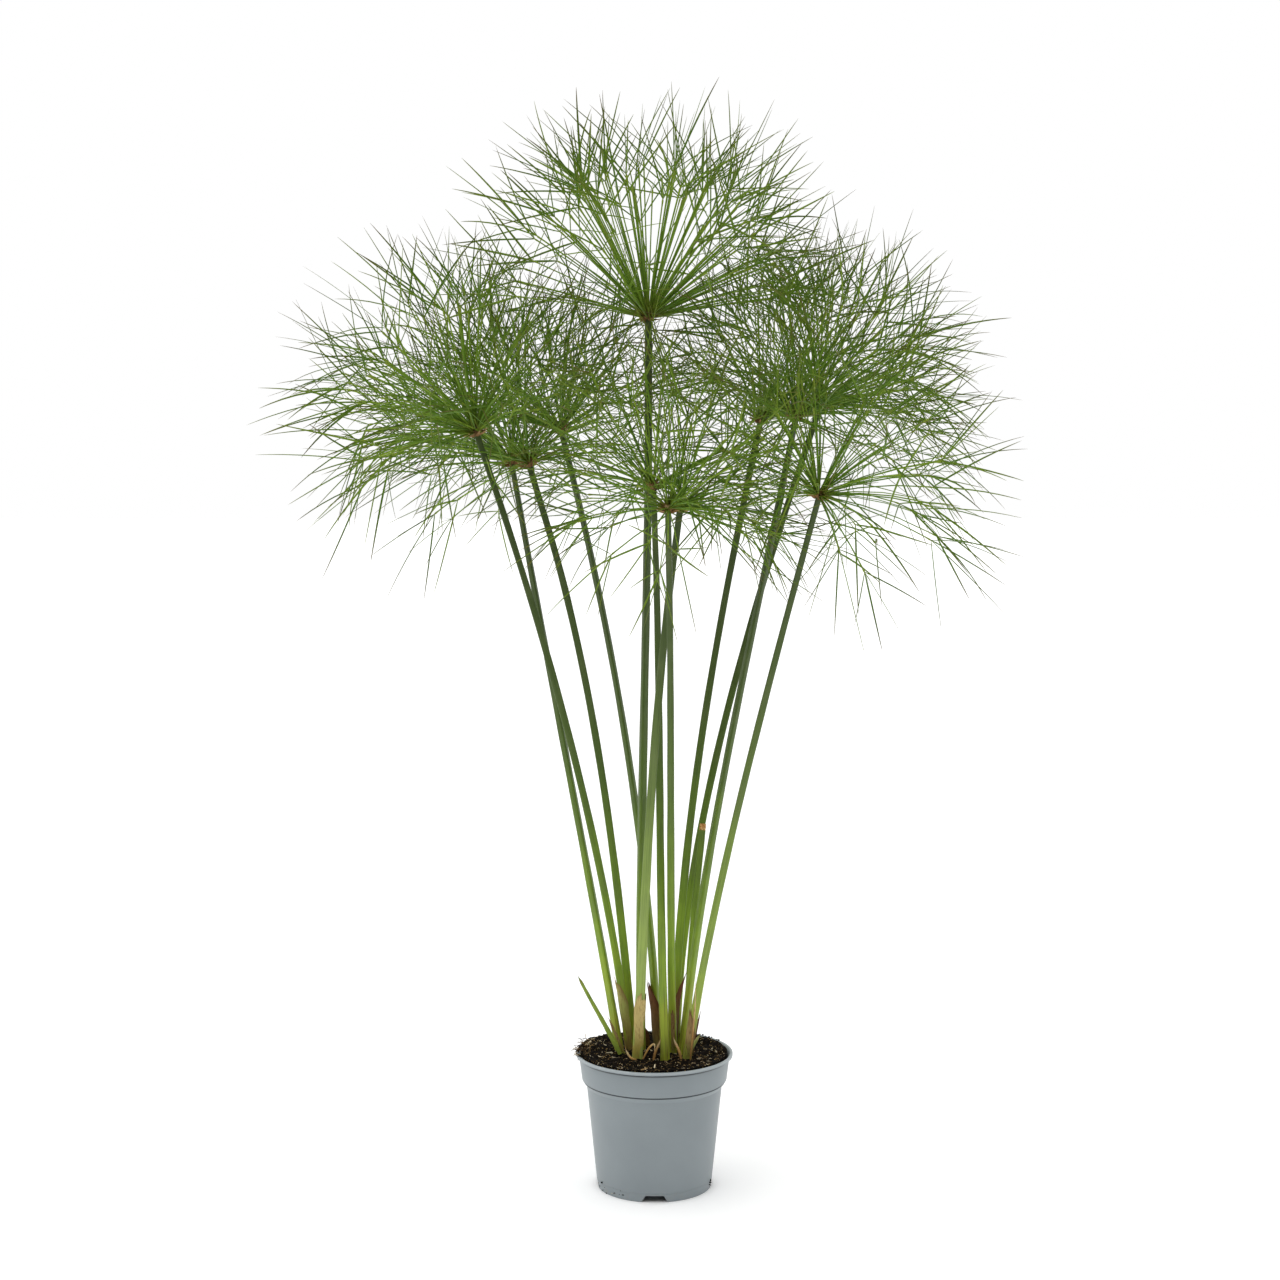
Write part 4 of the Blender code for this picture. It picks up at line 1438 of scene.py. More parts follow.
@dataclass
class Culm:
    """One three-sided papyrus stem, from inside the soil to just inside the hub of its umbel."""

    number: int
    stations: int = 7
    node: str = ""
    slices: int = 84
    corner_reach: float = 0.53  # how far the rounding of a corner reaches, in radii
    hub_radius: float = 0.0065
    hub_gap: float = 0.0003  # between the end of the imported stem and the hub
    hub_reach: float = 0.8  # how far the stem goes on into the hub, in its radii
    unevenness: float = 0.018
    wave_rates: Triple = (9, 23, 51)  # of its unevenness, in radians a length
    pattern_step: float = 0.05  # how far apart the stems lie in the pattern of their ribs, in metres
    pale: float = 0.08  # how pale and milky its green is
    foot_flare: float = 0.10  # how much thicker it is where it enters the soil
    stoutness: float = 0.0  # how much thicker its whole low part is
    stout_length: float = 0.16
    flare_length: float = 0.035

    def __post_init__(self) -> None:
        """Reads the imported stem."""
        self.node = self.node or f"culm_{self.number:02}"
        self.line = StemLine.of_node(self.node, self.stations)

    @property
    def hub(self) -> Array:
        """The middle of the umbel's hub, a hub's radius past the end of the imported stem."""
        middles, forward, _, _ = self.line.frame_at(np.array([1.0]))
        return middles[0] + forward[0] * (self.hub_radius + self.hub_gap)

    @property
    def top_direction(self) -> Array:
        """The direction in which the stem enters its hub."""
        return self.line.frame_at(np.array([1.0]))[1][0]

    def straight(self, name: str) -> Object:
        """Models a straight stem one unit long and one in radius, with rounded corners.

        Args:
            name: the object's name.

        Returns:
            The new object.
        """
        corner_radius = 1 / (1 - 0.577 * self.corner_reach)  # 0.577 is the tangent of 30 degrees
        obj = start_from(
            "cylinder", name, vertices=3, radius=corner_radius, depth=1, location=(0, 0, 0.5))
        bpy.ops.object.transform_apply()
        bpy.ops.object.mode_set(mode="EDIT")
        choose(obj, "EDGE", lambda ends: np.ptp(ends[:, 2]) > 0.5)
        reach = self.corner_reach * corner_radius
        bpy.ops.mesh.bevel(offset=reach, offset_type="OFFSET", segments=6, affect="EDGES")
        choose(obj, "EDGE", lambda ends: np.ptp(ends[:, 2]) > 0.5)
        bpy.ops.mesh.subdivide(number_cuts=self.slices)
        bpy.ops.object.mode_set(mode="OBJECT")
        return obj

    def bend(self, obj: Object, top: float) -> None:
        """Gives the straight stem its place, thickness and turn, and remembers where it was straight.

        Args:
            obj: the straight stem.
            top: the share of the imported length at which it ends.
        """
        places = points_of(obj.data)
        shares = places[:, 2] * top
        middles, _, side, depth = self.line.frame_at(shares)
        draw = np.random.default_rng(self.number)
        waves = draw.uniform(0, math.tau, 3)
        uneven = 1 + self.unevenness * sum(
            np.sin(shares * rate + phase) for rate, phase in zip(self.wave_rates, waves))
        run = shares * self.line.length
        foot = 1 + self.foot_flare * np.exp(-run / self.flare_length)
        slim = smooth_step(run / self.stout_length)
        radius = self.line.radius_at(shares) * uneven * foot * (1 + self.stoutness * (1 - slim))
        reach = np.hypot(places[:, 0], places[:, 1])
        angle = np.arctan2(places[:, 1], places[:, 0]) - math.pi / 2 + self.line.turn_at(shares)
        across = (reach * np.cos(angle) * radius)[:, None]
        through = (reach * np.sin(angle) * radius)[:, None]
        flat = np.column_stack([places[:, :2] * radius[:, None], run])
        set_mark(obj.data, Mark.STRAIGHT, flat + RIGHT * (self.number * self.pattern_step))
        set_mark(obj.data, Mark.TINT, np.full(len(places), self.pale))
        move_points(obj.data, middles + side * across + depth * through)

    def build(self) -> None:
        """Builds and dresses the stem."""
        obj = self.straight(f"culm_rind_{self.number:02}")
        self.bend(obj, 1 + self.hub_reach * self.hub_radius / self.line.length)
        finish_piece(obj, RIND, [self.node], crease=45)


@dataclass
class CutStem(Culm):
    """The stem that was cut off: green rind, and a dried cut end of tan pith."""

    number: int = 13
    stations: int = 3
    node: str = "cut_culm"
    slices: int = 40
    dry_length: float = 0.009
    pith_inset: float = 0.16  # of its radius
    pith_depth: float = 0.004  # of its length

    def build(self) -> None:
        """Builds and dresses the stem, sinks the middle of its cut a little and gives its end the pith.
        """
        obj = self.straight("cut_stem")
        bpy.ops.object.mode_set(mode="EDIT")
        choose(obj, "FACE", lambda corners: corners[:, 2].min() > 0.999)
        bpy.ops.mesh.inset(thickness=self.pith_inset)
        bpy.ops.transform.translate(value=(0, 0, -self.pith_depth))
        bpy.ops.object.mode_set(mode="OBJECT")
        self.bend(obj, 1.0)
        obj.data.materials.append(RIND.material())
        obj.data.materials.append(PITH.material())
        places = points_of(obj.data)
        dry = places[:, 2].max() - self.dry_length
        for face in obj.data.polygons:
            if places[list(face.vertices), 2].min() > dry:
                face.material_index = 1
        finish_piece(obj, RIND, [self.node], crease=45)


# -------- umbels


RAY_PROFILE: Profile = (
    (0.0, 1.5, 1.5), (0.06, 1.5, 1.4), (0.10, 1.1, 1.1), (0.35, 1.0, 1.0), (0.65, 0.9, 0.9),
    (0.94, 1.0, 1.0), (0.985, 1.5, 1.4), (1.0, 0.9, 0.9))
BRACTEOLE_PROFILE: Profile = (
    (0.0, 0.50, 0.6), (0.06, 0.80, 0.8), (0.20, 1.0, 0.9), (0.40, 0.97, 0.9), (0.58, 0.88, 0.8),
    (0.74, 0.72, 0.7), (0.87, 0.50, 0.5), (0.95, 0.30, 0.3), (1.0, 0.08, 0.08))
SPIKELET_PROFILE: Profile = ((0.0, 0.00030, 0.0003), (0.5, 0.00022, 0.0002), (1.0, 0.0001, 0.0001))
ARC_PROFILE: Profile = (
    (0.0, 0.0006, 0.0004), (0.3, 0.0009, 0.0004), (0.7, 0.0007, 0.0003), (0.9, 0.0004, 0.0002),
    (1.0, 0.0001, 0.0001))


@dataclass
class RayTips:
    """Where an umbel's rays end, in which direction, and the random value of each."""

    nodes: Array
    lines: Array
    tints: Array


@dataclass
class Umbel:
    """The mop on one stem: straight rays from a hub, each ending in a few thin bracteoles.

    lean tips its middle away from the stem's own line, opening is the angle in degrees to the
    outermost rays, ray and bracteole are lengths in metres, and sag is how far the outer rays and
    their bracteoles hang. A pair of numbers is the least and the most.
    """

    number: int
    lean: Pair
    opening: float
    ray: float
    bracteole: float
    sag: float
    ray_count: int = 104
    leaves: tuple[int, int] = (2, 5)  # the fewest bracteoles on a ray, and one past the most
    outer_shorter: float = 0.25
    ray_width: float = 0.0015
    ray_lengths: Pair = (0.90, 1.04)  # times ray
    ray_scales: Pair = (0.75, 1.2)  # times ray_width
    bracteole_width: float = 0.0021
    bracteole_lengths: Pair = (0.62, 1.06)  # times bracteole
    bracteole_scales: Pair = (0.5, 1.05)  # times bracteole_width
    spread: Triple = (8, 34, 72)  # degrees off the ray: least, commonest, most
    hanging: Pair = (0.2, 1.6)  # how unevenly the bracteoles hang
    bow: Pair = (-0.10, 0.22)  # how far they curve outwards
    arched_bow: Pair = (0.4, 1.1)  # how far the arched ones do
    arched_share: float = 0.10  # of the bracteoles
    fork_unrest: float = 0.35  # how unevenly they stand round their ray, in radians
    tint_unrest: float = 0.2  # how far their green strays from their ray's
    spikelet_lengths: Pair = (0.008, 0.022)
    spikelet_unrest: float = 0.28  # how far they stray from their ray's direction
    unrest: float = 0.035  # how far the rays stray from an even spread
    bunching: float = 0.60
    bunch_size: int = 6
    spare: float = 2.2  # how many more directions are drawn than are kept
    level_share: float = 0.75  # how likely a level ray is kept, before the thinning
    thinning: float = 2.3  # how much sparser the rays are that hang below the hub
    least_share: float = 0.07  # how likely the lowest rays are kept
    clumps: tuple[Triple, ...] = ()  # directions that its rays crowd towards
    clumping: float = 0.42  # how strongly they crowd, from 0 to 1
    clump_reach: Pair = (0.45, 0.85)  # the likeness at which that starts and is full
    least_lit: float = 0.0  # the least tint that its rays draw; higher tints take more of the painted highlight, from 0 to 1
    arc_count: int = 6
    arc_lengths: Pair = (0.030, 0.085)
    ray_foot: float = 0.55  # how far from the hub's middle the rays begin, in its radii
    knob_size: float = 0.82  # of the hub's radius
    knob_foot: Triple = (0.72, 0.72, 1.3)  # how its foot is narrowed and drawn out

    def __post_init__(self) -> None:
        """Reads the stem that carries it and starts its random numbers."""
        self.culm = Culm(self.number)
        self.draw = np.random.default_rng(100 + self.number)

    def directions(self, middle: Array) -> Array:
        """Spreads the rays evenly over the umbel, then draws them together in loose bunches.

        Args:
            middle: the direction of the umbel's middle.

        Returns:
            The direction of each ray, one row each.
        """
        draw = self.draw
        count = round(self.ray_count * self.spare)
        number = np.arange(count) + 0.5
        height = 1 - (1 - math.cos(math.radians(self.opening))) * number / count
        wide = np.sqrt(1 - height ** 2)[:, None]
        even = around(number * GOLDEN_ANGLE) * wide + UP * height[:, None]
        turn = Vector((0, 0, 1)).rotation_difference(Vector(middle)).to_matrix()
        even = even @ np.array(turn).T
        even = unit(even + draw.normal(0, self.unrest, even.shape))
        hanging = even[:, 2] - self.sag * (1 - even[:, 2] ** 2)
        chance = np.clip(self.level_share + self.thinning * hanging, self.least_share, 1)
        even = even[draw.choice(count, self.ray_count, replace=False, p=chance / chance.sum())]
        centres = even[:self.ray_count // self.bunch_size]
        nearest = centres[(even @ centres.T).argmax(axis=1)]
        pull = draw.uniform(0, self.bunching, (self.ray_count, 1))
        lines = unit(even * (1 - pull) + nearest * pull)
        if self.clumps:
            ways = unit(np.array(self.clumps))
            likeness = lines @ ways.T
            crowd = draw.uniform(0, self.clumping, (self.ray_count, 1))
            start, full = self.clump_reach
            crowd = crowd * smooth_step((likeness.max(axis=1)[:, None] - start) / (full - start))
            lines = unit(lines * (1 - crowd) + ways[likeness.argmax(axis=1)] * crowd)
        return lines

    def add_rays(self, strands: Strands) -> RayTips:
        """Adds the rays.

        Args:
            strands: the strands to add to.

        Returns:
            Where they end.
        """
        draw = self.draw
        middle = unit(self.culm.top_direction + np.array((*self.lean, 0.0)))
        lines = self.directions(middle)
        outer = 1 - np.clip(lines @ middle, 0, 1)
        level = (1 - lines[:, 2] ** 2)[:, None]
        starts = unit(lines + middle * 0.08 - UP * self.sag * 0.5 * level)
        ends = lines - UP * self.sag * 1.5 * level - middle * 0.04 * (1 - level)
        lengths = self.ray * draw.uniform(*self.ray_lengths, len(lines))
        lengths = lengths * (1 - self.outer_shorter * outer)
        roots = self.culm.hub + lines * self.culm.hub_radius * self.ray_foot - middle * 0.001
        profile = in_metres(RAY_PROFILE, self.ray_width / 2)
        tints = draw.uniform(self.least_lit, 1, len(lines))
        scales = draw.uniform(*self.ray_scales, len(lines))
        nodes = strands.add(roots, starts, ends, lengths, profile, ROUND, tints, scales)
        return RayTips(nodes, unit(ends), tints)

    def add_bracteoles(self, strands: Strands, rays: RayTips) -> None:
        """Adds the bracteoles that end each ray, spread round it.

        Args:
            strands: the strands to add to.
            rays: where the rays end.
        """
        draw = self.draw
        counts = draw.integers(*self.leaves, len(rays.nodes))
        owner = np.repeat(np.arange(len(counts)), counts)
        order = np.concatenate([np.arange(count) / count for count in counts])
        lines = rays.lines[owner]
        side = unit(np.cross(lines, draw.normal(size=(len(counts), 3))[owner]))
        turn = math.tau * order + draw.normal(0, self.fork_unrest, len(order))
        away = around(turn, side, np.cross(lines, side))
        wide = np.radians(draw.triangular(*self.spread, len(order)))
        starts = around(wide, lines, away)
        level = (1 - starts[:, 2] ** 2)[:, None]
        hang = (0.08 + 0.9 * self.sag) * draw.uniform(*self.hanging, (len(order), 1))
        bent = away * draw.uniform(*self.bow, (len(order), 1))
        arched = draw.uniform(0, 1, len(order)) < self.arched_share
        bent[arched] = away[arched] * draw.uniform(*self.arched_bow, (arched.sum(), 1))
        ends = unit(starts + bent - UP * hang * level)
        lengths = self.bracteole * draw.uniform(*self.bracteole_lengths, len(order))
        profile = in_metres(BRACTEOLE_PROFILE, self.bracteole_width / 2)
        tints = np.clip(rays.tints[owner] + draw.normal(0, self.tint_unrest, len(order)), 0, 1)
        scales = draw.uniform(*self.bracteole_scales, len(order))
        strands.add(rays.nodes[owner], starts, ends, lengths, profile, FOLDED, tints, scales)

    def add_spikelets(self, strands: Strands, rays: RayTips) -> None:
        """Adds two short raylets in the middle of the bracteoles, where the flowers would sit.

        Args:
            strands: the strands to add to.
            rays: where the rays end.
        """
        draw = self.draw
        nodes, lines = np.repeat(rays.nodes, 2, axis=0), np.repeat(rays.lines, 2, axis=0)
        starts = unit(lines + draw.normal(0, self.spikelet_unrest, lines.shape))
        ends = unit(starts + draw.normal(0, 0.3, lines.shape))
        lengths = draw.uniform(*self.spikelet_lengths, len(nodes))
        tints = draw.uniform(0.4, 1, len(nodes))
        strands.add(nodes, starts, ends, lengths, SPIKELET_PROFILE, FOLDED, tints)

    def add_arcs(self, strands: Strands) -> None:
        """Adds the few pale thin leaves that rise from the hub and arch over its rays.

        Args:
            strands: the strands to add to.
        """
        draw, count = self.draw, self.arc_count
        outward = unit(draw.normal(0, 1, (count, 3)) * np.array((1, 1, 0.2)))
        starts = unit(outward * 0.6 + self.culm.top_direction)
        ends = unit(outward * 1.2 - UP * draw.uniform(0.2, 1.2, (count, 1)))
        roots = np.repeat(self.culm.hub[None], count, axis=0)
        lengths = draw.uniform(*self.arc_lengths, count)
        strands.add(roots, starts, ends, lengths, ARC_PROFILE, FOLDED, np.ones(count))

    def add_collar(self, strands: Strands) -> None:
        """Adds the short dry bracts round the hub, and the brown sheaths at the feet of the rays.

        Args:
            strands: the strands to add to.
        """
        draw, up, hub = self.draw, self.culm.top_direction, self.culm.hub_radius
        side = unit(np.cross(up, np.array((0.3, 1.0, 0.1))))
        depth = np.cross(up, side)
        for count, rise, fall, low, high, width, start in (
            (11, 0.55, 0.0, 0.008, 0.014, 0.0018, -0.6),
            (16, 1.1, 0.5, 0.005, 0.010, 0.0014, -0.2),
        ):
            angle = math.tau * np.arange(count) / count + draw.normal(0, 0.2, count)
            outward = around(angle, side, depth)
            roots = self.culm.hub + outward * hub * 0.45 + up * hub * start
            starts = unit(outward + up * (draw.uniform(0.5, 1.3, (count, 1)) * rise))
            ends = unit(outward + up * draw.uniform(-0.5, 0.9, (count, 1)) * (rise - fall))
            profile = ((0.0, width * 0.8, 0.0006), (0.25, width, 0.0006), (0.6, width * 0.7, 0.0005),
                       (0.85, width * 0.3, 0.0003), (1.0, 0.0001, 0.0001))
            lengths = draw.uniform(low, high, count)
            tints = draw.uniform(0, 0.6, count)
            strands.add(roots, starts, ends, lengths, profile, FOLDED, tints)

    def hub_knob(self) -> Object:
        """Models the swollen end of the stem that the rays grow from.

        Returns:
            The new object.
        """
        hub = self.culm.hub_radius
        knob = start_from(
            "uv_sphere", f"umbel_hub_{self.number:02}",
            segments=24, ring_count=14, radius=hub * self.knob_size)
        bpy.ops.object.mode_set(mode="EDIT")
        choose(knob, "FACE", lambda corners: corners[:, 2].max() < -hub * 0.2)
        bpy.ops.transform.resize(value=self.knob_foot, center_override=(0, 0, 0))
        bpy.ops.object.mode_set(mode="OBJECT")
        knob.rotation_mode = "QUATERNION"
        way = Vector(self.culm.top_direction)
        knob.rotation_quaternion = Vector((0, 0, 1)).rotation_difference(way)
        knob.location = Vector(self.culm.hub)
        places = points_of(knob.data)
        set_mark(knob.data, Mark.ALONG, smooth_step(0.5 + places[:, 2] / hub))
        set_mark(knob.data, Mark.TINT, np.full(len(places), 0.35))
        return knob

    def build(self) -> None:
        """Builds and dresses the umbel on its stem."""
        ray_strands, leaf_strands, collar = (Strands(self.draw) for _ in range(3))
        rays = self.add_rays(ray_strands)
        self.add_bracteoles(leaf_strands, rays)
        self.add_spikelets(leaf_strands, rays)
        self.add_arcs(leaf_strands)
        self.add_collar(collar)
        node = f"umbel_{self.number:02}"
        finish_piece(ray_strands.build(f"{node}_rays"), RAY_GREEN, [node], crease=100)
        finish_piece(leaf_strands.build(f"{node}_bracteoles"), BRACTEOLE_GREEN, crease=60)
        finish_piece(collar.build(f"{node}_collar"), COLLAR_HUSK, crease=60)
        finish_piece(self.hub_knob(), COLLAR_HUSK, crease=80)


def all_umbels() -> tuple[Umbel, ...]:
    """Lists the twelve umbels, each on its own stem.

    Returns:
        The umbels, in the order in which they are built.
    """
    return (
        Umbel(1, (-0.65, -0.18), 98, 0.145, 0.108, 0.28, ray_count=128, thinning=1.5),
        Umbel(2, (-0.50, 0.50), 92, 0.137, 0.105, 0.20),
        Umbel(3, (-0.35, -0.35), 108, 0.130, 0.104, 0.28, ray_count=66, thinning=1.3),
        Umbel(4, (-0.20, 0.45), 92, 0.132, 0.102, 0.15, ray_count=74),
        Umbel(5, (0.00, 0.00), 88, 0.156, 0.108, 0.03, ray_count=122, leaves=(2, 6),
              outer_shorter=0.04, ray_width=0.0017, bracteole_width=0.0025, least_lit=0.4,
              clumps=((-0.50, 0.0, 0.86), (-0.16, 0.1, 0.98), (0.32, 0.1, 0.94))),
        Umbel(6, (-0.15, -0.20), 114, 0.125, 0.095, 0.15, ray_count=57, thinning=0.9),
        Umbel(7, (0.00, -0.55), 122, 0.122, 0.098, 0.24, ray_count=55, thinning=0.7),
        Umbel(8, (0.25, -0.30), 122, 0.122, 0.098, 0.22, ray_count=52, thinning=0.7),
        Umbel(9, (0.20, 0.10), 92, 0.130, 0.100, 0.15, ray_count=62),
        Umbel(10, (0.36, -0.15), 96, 0.136, 0.104, 0.18, ray_count=100, thinning=1.8),
        Umbel(11, (0.40, 0.35), 92, 0.136, 0.104, 0.18, ray_count=88),
        Umbel(12, (0.55, -0.40), 114, 0.136, 0.106, 0.30, ray_count=88, thinning=0.7),
    )


# -------- sheaths, leaves and scales


def edge_tint(over: Array, tint: float, edge: float = 0.9) -> Array:
    """Makes a husk browner towards its edges.

    Args:
        over: places across it, from -1 to 1.
        tint: how brown its middle is.
        edge: how brown its edges are.

    Returns:
        How brown each place is, from 0 to 1.
    """
    return tint + (edge - tint) * np.abs(over) ** 3


def flat_strip(name: str, across: int, up: int = 30) -> tuple[Object, Array, Array]:
    """Adds a flat grid that is to be shaped as a strip of sheath or leaf.

    Args:
        name: the object's name.
        across: its cells from edge to edge.
        up: its cells along its length.

    Returns:
        The object, and each point's place across it, from -1 to 1, and along it, from 0 to 1.
    """
    obj = start_from("grid", name, x_subdivisions=across, y_subdivisions=up, size=2)
    places = points_of(obj.data)
    return obj, places[:, 0], (places[:, 1] + 1) / 2


def finish_strip(obj: Object, along: Array, tints: Array, finish: Finish, node: str) -> None:
    """Marks, thickens, rounds and dresses a strip.

    Args:
        obj: the strip, in its shape.
        along: how far along it each point is, from 0 to 1.
        tints: how brown it is at each point, from 0 to 1.
        finish: what it is made of.
        node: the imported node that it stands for, if any.
    """
    set_mark(obj.data, Mark.ALONG, along)
    set_mark(obj.data, Mark.TINT, tints)
    apply_modifier(obj, "SOLIDIFY", thickness=STRIP_WALL, offset=0)
    apply_modifier(obj, "SUBSURF", levels=1, render_levels=1)
    slot = Slot.LEAF if isinstance(finish, StrandGreen) else Slot.HUSK
    finish_piece(obj, finish, [node] if node else [], crease=60)


@dataclass
class Sheath:
    """A dry leaf sheath that wraps the foot of a stem and narrows to a torn point.

    facing is the direction in degrees of its middle at the foot, slant turns that towards the
    point, and wrap is half the angle that it covers at the foot. tint makes it browner.
    """

    culm: Culm
    facing: float
    bottom: float
    top: float
    wrap: float
    tint: float
    slant: float = 0.0
    peel: float = 0.0012  # how far the point stands off the stem
    node: str = ""
    narrowing: float = 0.93
    taper: float = 3.0  # how late it narrows: 1 is evenly all the way up
    edge: float = 0.9  # how brown its edges are
    green_foot: float = 0.35  # the share of its length over which it turns brown
    finish: Finish = HUSK
    clearance: float = 0.0006
    ragged: float = 0.16  # how deep its point is torn, as a share of its length
    torn_from: float = 0.4  # the share of its length from which it is torn
    wave: float = 0.0003

    def build(self) -> None:
        """Builds and dresses the sheath."""
        obj, over, share = flat_strip(f"papery_sheath_{self.culm.number:02}", across=18)
        phase = np.random.default_rng(self.culm.number).uniform(0, math.tau, 3)
        torn = 0.5 + 0.3 * np.sin(5 * over + phase[0]) + 0.2 * np.sin(13 * over + phase[1])
        late = smooth_step((share - self.torn_from) / (1 - self.torn_from))
        reach = share * (1 - self.ragged * torn * late)
        shares = self.share_at(self.bottom + (self.top - self.bottom) * reach)
        middles, _, side, depth = self.culm.line.frame_at(shares)
        half = math.radians(self.wrap) * (1 - self.narrowing * reach ** self.taper)
        angle = np.radians(self.facing + self.slant * reach) + over * half
        wave = self.wave * np.sin(14 * reach + 5 * over + phase[2])
        wave += self.wave / 2 * np.sin(27 * over)
        radius = self.culm.line.outline_at(shares, angle) + self.clearance + wave
        radius += self.peel * reach ** 2.5
        move_points(obj.data, middles + side * (radius * np.cos(angle))[:, None]
                    + depth * (radius * np.sin(angle))[:, None])
        tints = edge_tint(over, self.tint, self.edge) * smooth_step(reach / self.green_foot)
        finish_strip(obj, reach, tints, self.finish, self.node)

    def share_at(self, heights: Array) -> Array:
        """The shares of the stem's length at some heights."""
        shares = np.linspace(0, 1, 200)
        return np.interp(heights, curve_through(self.culm.line.middles, shares)[:, 2], shares)


@dataclass
class Blade:
    """A small leaf or dry scale: a folded, curled strip that narrows to a point.

    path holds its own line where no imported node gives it. curl rolls its edges in, and twist turns
    it about its line, both in degrees.
    """

    name: str
    finish: Finish
    width: float
    node: str = ""
    path: tuple[Triple, ...] = ()
    curl: float = 50.0
    twist: float = 0.0
    facing: float = -90.0
    tint: float = 0.3
    narrowing: float = 0.2  # how much narrower it gets before its point
    point: float = 0.75  # the share of its length that the point takes
    foot: float = 0.25  # the share over which it widens from its root
    least: float = 0.03  # how wide it still is at its very end, as a share of its width
    ragged: float = 0.05

    def line(self) -> Array:
        """Finds its middle line.

        Returns:
            The line's points, one row each.
        """
        if self.path:
            return np.array(self.path)
        return StemLine.of_node(self.node, 4).middles

    def build(self) -> None:
        """Builds and dresses the blade."""
        obj, over, share = flat_strip(self.name, across=8)
        line = self.line()
        middles = curve_through(line, share)
        forward = unit(curve_through(line, np.minimum(share + 0.02, 1))
                       - curve_through(line, np.maximum(share - 0.02, 0)))
        facing = math.radians(self.facing) + math.radians(self.twist) * share
        out = np.stack([np.cos(facing), np.sin(facing), np.zeros_like(facing)], 1)
        out = unit(out - forward * np.sum(out * forward, axis=1, keepdims=True))
        side = np.cross(forward, out)
        root = 1 - self.foot + np.minimum(share, self.foot)
        taper = root * (1 - self.narrowing * share) * smooth_step((1 - share) / self.point)
        half = self.width / 2 * np.maximum(taper, self.least)
        curl = math.radians(self.curl)
        bowl = half * (1 - np.cos(over * curl)) / curl
        wide = half * np.sin(over * curl) / curl
        ragged = 1 + self.ragged * np.sin(40 * share + 3) * np.abs(over)
        move_points(obj.data, middles + side * (wide * ragged)[:, None] - out * bowl[:, None])
        finish_strip(obj, share, edge_tint(over, self.tint), self.finish, self.node)


BLADES = (
    Blade("young_leaf_blade", LEAF_GREEN, 0.0070, node="young_leaf", curl=50, tint=0.8,
          narrowing=0.5, point=0.10),
    Blade("leaflet_blade", LEAFLET_GREEN, 0.0044, node="leaflet", curl=60, tint=0.9, point=0.35, path=(
        (0.0370, 0.0010, 0.1428), (0.0415, 0.0006, 0.1510), (0.0460, -0.0004, 0.1596),
        (0.0503, -0.0012, 0.1675))),
    Blade("dry_leaf_strip", CURLED_HUSK, 0.0026, node="dry_leaf", curl=70, twist=40, tint=0.2,
          point=0.4),
    Blade("husk_scale_1", HUSK, 0.0040, node="scale_1", curl=75, tint=0.35, point=0.3),
    Blade("husk_scale_2", CURLED_HUSK, 0.0036, node="scale_2", curl=85, twist=30, tint=0.0,
          point=0.4),
    Blade("husk_scale_3", CURLED_HUSK, 0.0032, node="scale_3", curl=85, twist=-40, tint=0.0,
          point=0.4, path=(
              (-0.0125, -0.0220, 0.1440), (-0.0059, -0.0220, 0.1565), (-0.0003, -0.0220, 0.1602),
              (-0.0004, -0.0222, 0.1490))),
    Blade("husk_scale_4", CURLED_HUSK, 0.0042, node="scale_4", curl=80, tint=0.1, point=0.5),
    Blade("husk_scale_5", DARK_HUSK, 0.0090, node="scale_5", curl=75, twist=25, tint=0.4, point=0.4),
    Blade("husk_scale_6", DARK_HUSK, 0.0040, curl=80, tint=0.5, point=0.5, path=(
        (0.0415, 0.0035, 0.1420), (0.0440, 0.0040, 0.1604), (0.0476, 0.0035, 0.1785),
        (0.0512, 0.0030, 0.1935))),
    Blade("husk_scale_7", CURLED_HUSK, 0.0044, curl=85, twist=20, tint=0.45, point=0.4, path=(
        (-0.0013, -0.0215, 0.1415), (0.0012, -0.0220, 0.1520), (0.0046, -0.0225, 0.1600),
        (0.0070, -0.0230, 0.1680))),
    Blade("husk_scale_8", DARK_HUSK, 0.0075, curl=60, twist=15, tint=0.6, point=0.25, path=(
        (-0.0070, 0.0330, 0.1415), (-0.0075, 0.0335, 0.1500), (-0.0086, 0.0340, 0.1570),
        (-0.0098, 0.0350, 0.1640))),
    Blade("husk_scale_9", DARK_HUSK, 0.0060, curl=70, twist=-20, tint=0.7, point=0.3, path=(
        (0.0305, 0.0230, 0.1415), (0.0300, 0.0235, 0.1490), (0.0288, 0.0240, 0.1550),
        (0.0270, 0.0245, 0.1610))),
)


# -------- stage


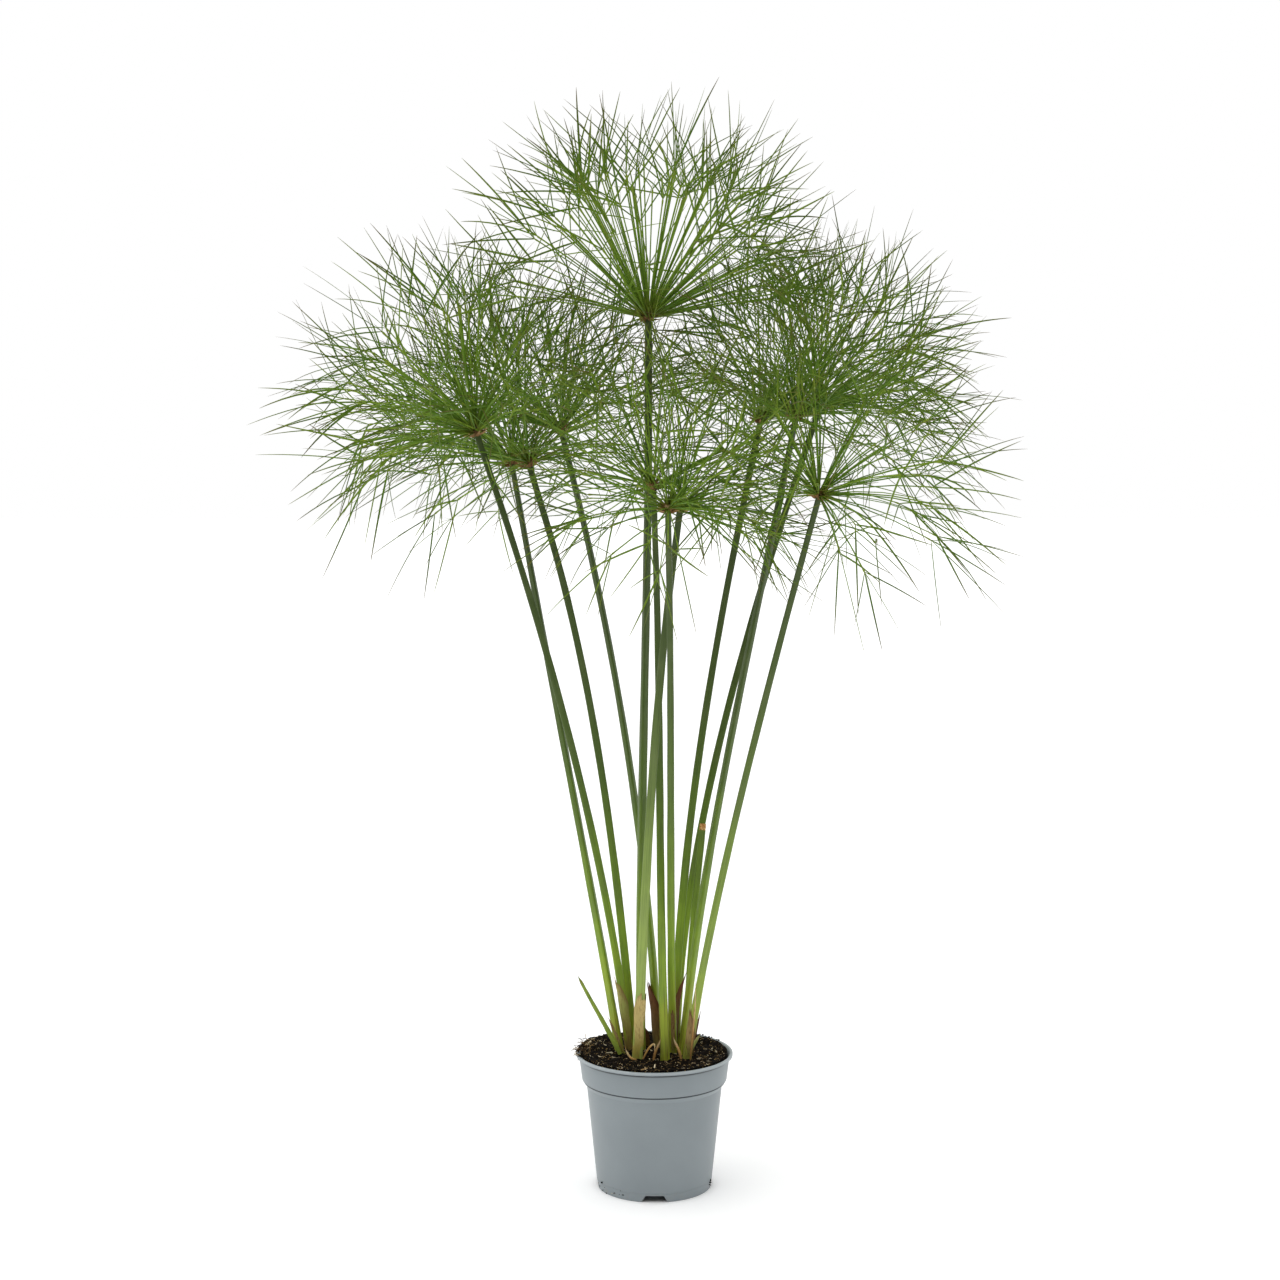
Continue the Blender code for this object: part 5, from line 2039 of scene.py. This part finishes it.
@dataclass
class Studio:
    """A pale floor, a white surround, a broad light overhead and the camera."""

    floor_size: float = 60.0
    side_light: float = 0.87  # how bright the surround shines from the sides and back
    front_light: float = 0.13  # and from the camera's side
    overhead: float = 1.52  # in watts a square metre
    overhead_spread: float = 75.0  # degrees
    overhead_tilt: Pair = (14.0, -12.0)  # degrees towards the camera and the left
    camera_place: Triple = (-0.0156, -2.257, 0.779)
    camera_down: float = 4.66  # degrees below level
    sensor: float = 36.0  # millimetres
    focal_pixels: float = 2118.0
    picture: int = 1280

    def surround(self) -> None:
        """Makes the surround: white to the eye, and a dimmer light from the camera's side."""
        world = bpy.data.worlds.new("white_surround")
        world.use_nodes = True
        tree = world.node_tree
        direction = add_node(tree, "TexCoord").outputs["Generated"]
        ways = add_node(tree, "SeparateXYZ", {"Vector": direction})
        light = add_node(tree, "MapRange", {
            "Value": ways.outputs["Y"], "From Min": -0.9, "From Max": 0.1,
            "To Min": self.front_light, "To Max": self.side_light})
        seen = add_node(tree, "LightPath").outputs["Is Camera Ray"]
        strength = add_node(tree, "Mix", {"Factor": seen, "A": light, "B": 1.0}, data_type="FLOAT")
        feed(tree, tree.nodes["Background"], {"Color": "#ffffff", "Strength": strength})
        bpy.context.scene.world = world

    def floor(self) -> None:
        """Lays the floor, which isn't part of the plant."""
        floor = start_from("plane", "studio_floor", size=self.floor_size)
        floor.data.materials.append(PaintedFloor().material())

    def lamp(self) -> None:
        """Hangs the broad soft light overhead, a little towards the camera and the left."""
        light = bpy.data.lights.new("overhead_softbox", "SUN")
        light.energy = self.overhead
        light.angle = math.radians(self.overhead_spread)
        lamp = bpy.data.objects.new("overhead_softbox", light)
        lamp.rotation_euler = (*(math.radians(tilt) for tilt in self.overhead_tilt), 0)
        bpy.context.scene.collection.objects.link(lamp)

    def camera(self) -> None:
        """Sets the camera at the photograph's place and angle."""
        data = bpy.data.cameras.new("camera")
        data.sensor_width = self.sensor
        data.lens = self.focal_pixels * self.sensor / self.picture
        camera = bpy.data.objects.new("camera", data)
        camera.location = self.camera_place
        camera.rotation_euler = (math.radians(90 - self.camera_down), 0, 0)
        bpy.context.scene.collection.objects.link(camera)
        bpy.context.scene.camera = camera

    def build(self) -> None:
        """Sets up the stage."""
        bpy.context.scene.view_settings.view_transform = "Standard"
        self.surround()
        self.floor()
        self.lamp()
        self.camera()


# -------- main


def main() -> None:
    """Builds the stage, the pot, the soil and the plant, in that order."""
    logging.basicConfig(level=logging.INFO, format="%(name)s: %(message)s")
    Studio().build()
    pot = NurseryPot()
    pot.build()
    SoilBed(pot).build()
    umbels = all_umbels()
    culms = {umbel.number: umbel.culm for umbel in umbels}
    culms[8].pale = 0.85
    culms[12].pale = 0.45
    culms[6].stoutness = 0.14
    culms[6].foot_flare = 0.0
    for culm in culms.values():
        culm.build()
    CutStem().build()
    for umbel in umbels:
        umbel.build()
    for sheath in (
        Sheath(culms[8], -100, 0.1395, 0.2200, 150, 0.0, slant=60, node="sheath_08",
               narrowing=0.58, taper=2.4, edge=0.35, finish=TAN_HUSK),
        Sheath(culms[4], -100, 0.1410, 0.2190, 175, 0.20, slant=-80, peel=0.0030, node="sheath_04",
               taper=1.3, edge=0.95, green_foot=0.1, finish=DARK_HUSK, clearance=0.0016),
        Sheath(culms[1], -95, 0.1410, 0.2285, 178, 0.10, slant=-75, peel=0.0010, node="sheath_01",
               green_foot=0.1, finish=OLIVE_HUSK),
        Sheath(culms[12], -125, 0.1395, 0.2000, 160, 0.25, slant=-40, peel=0.0015, node="sheath_12",
               taper=2.0),
        Sheath(culms[7], -97, 0.1395, 0.1970, 30, 0.45, narrowing=0.30, taper=1.0, edge=0.8),
    ):
        sheath.build()
    for blade in BLADES:
        blade.build()


if __name__ == "__main__":
    main()
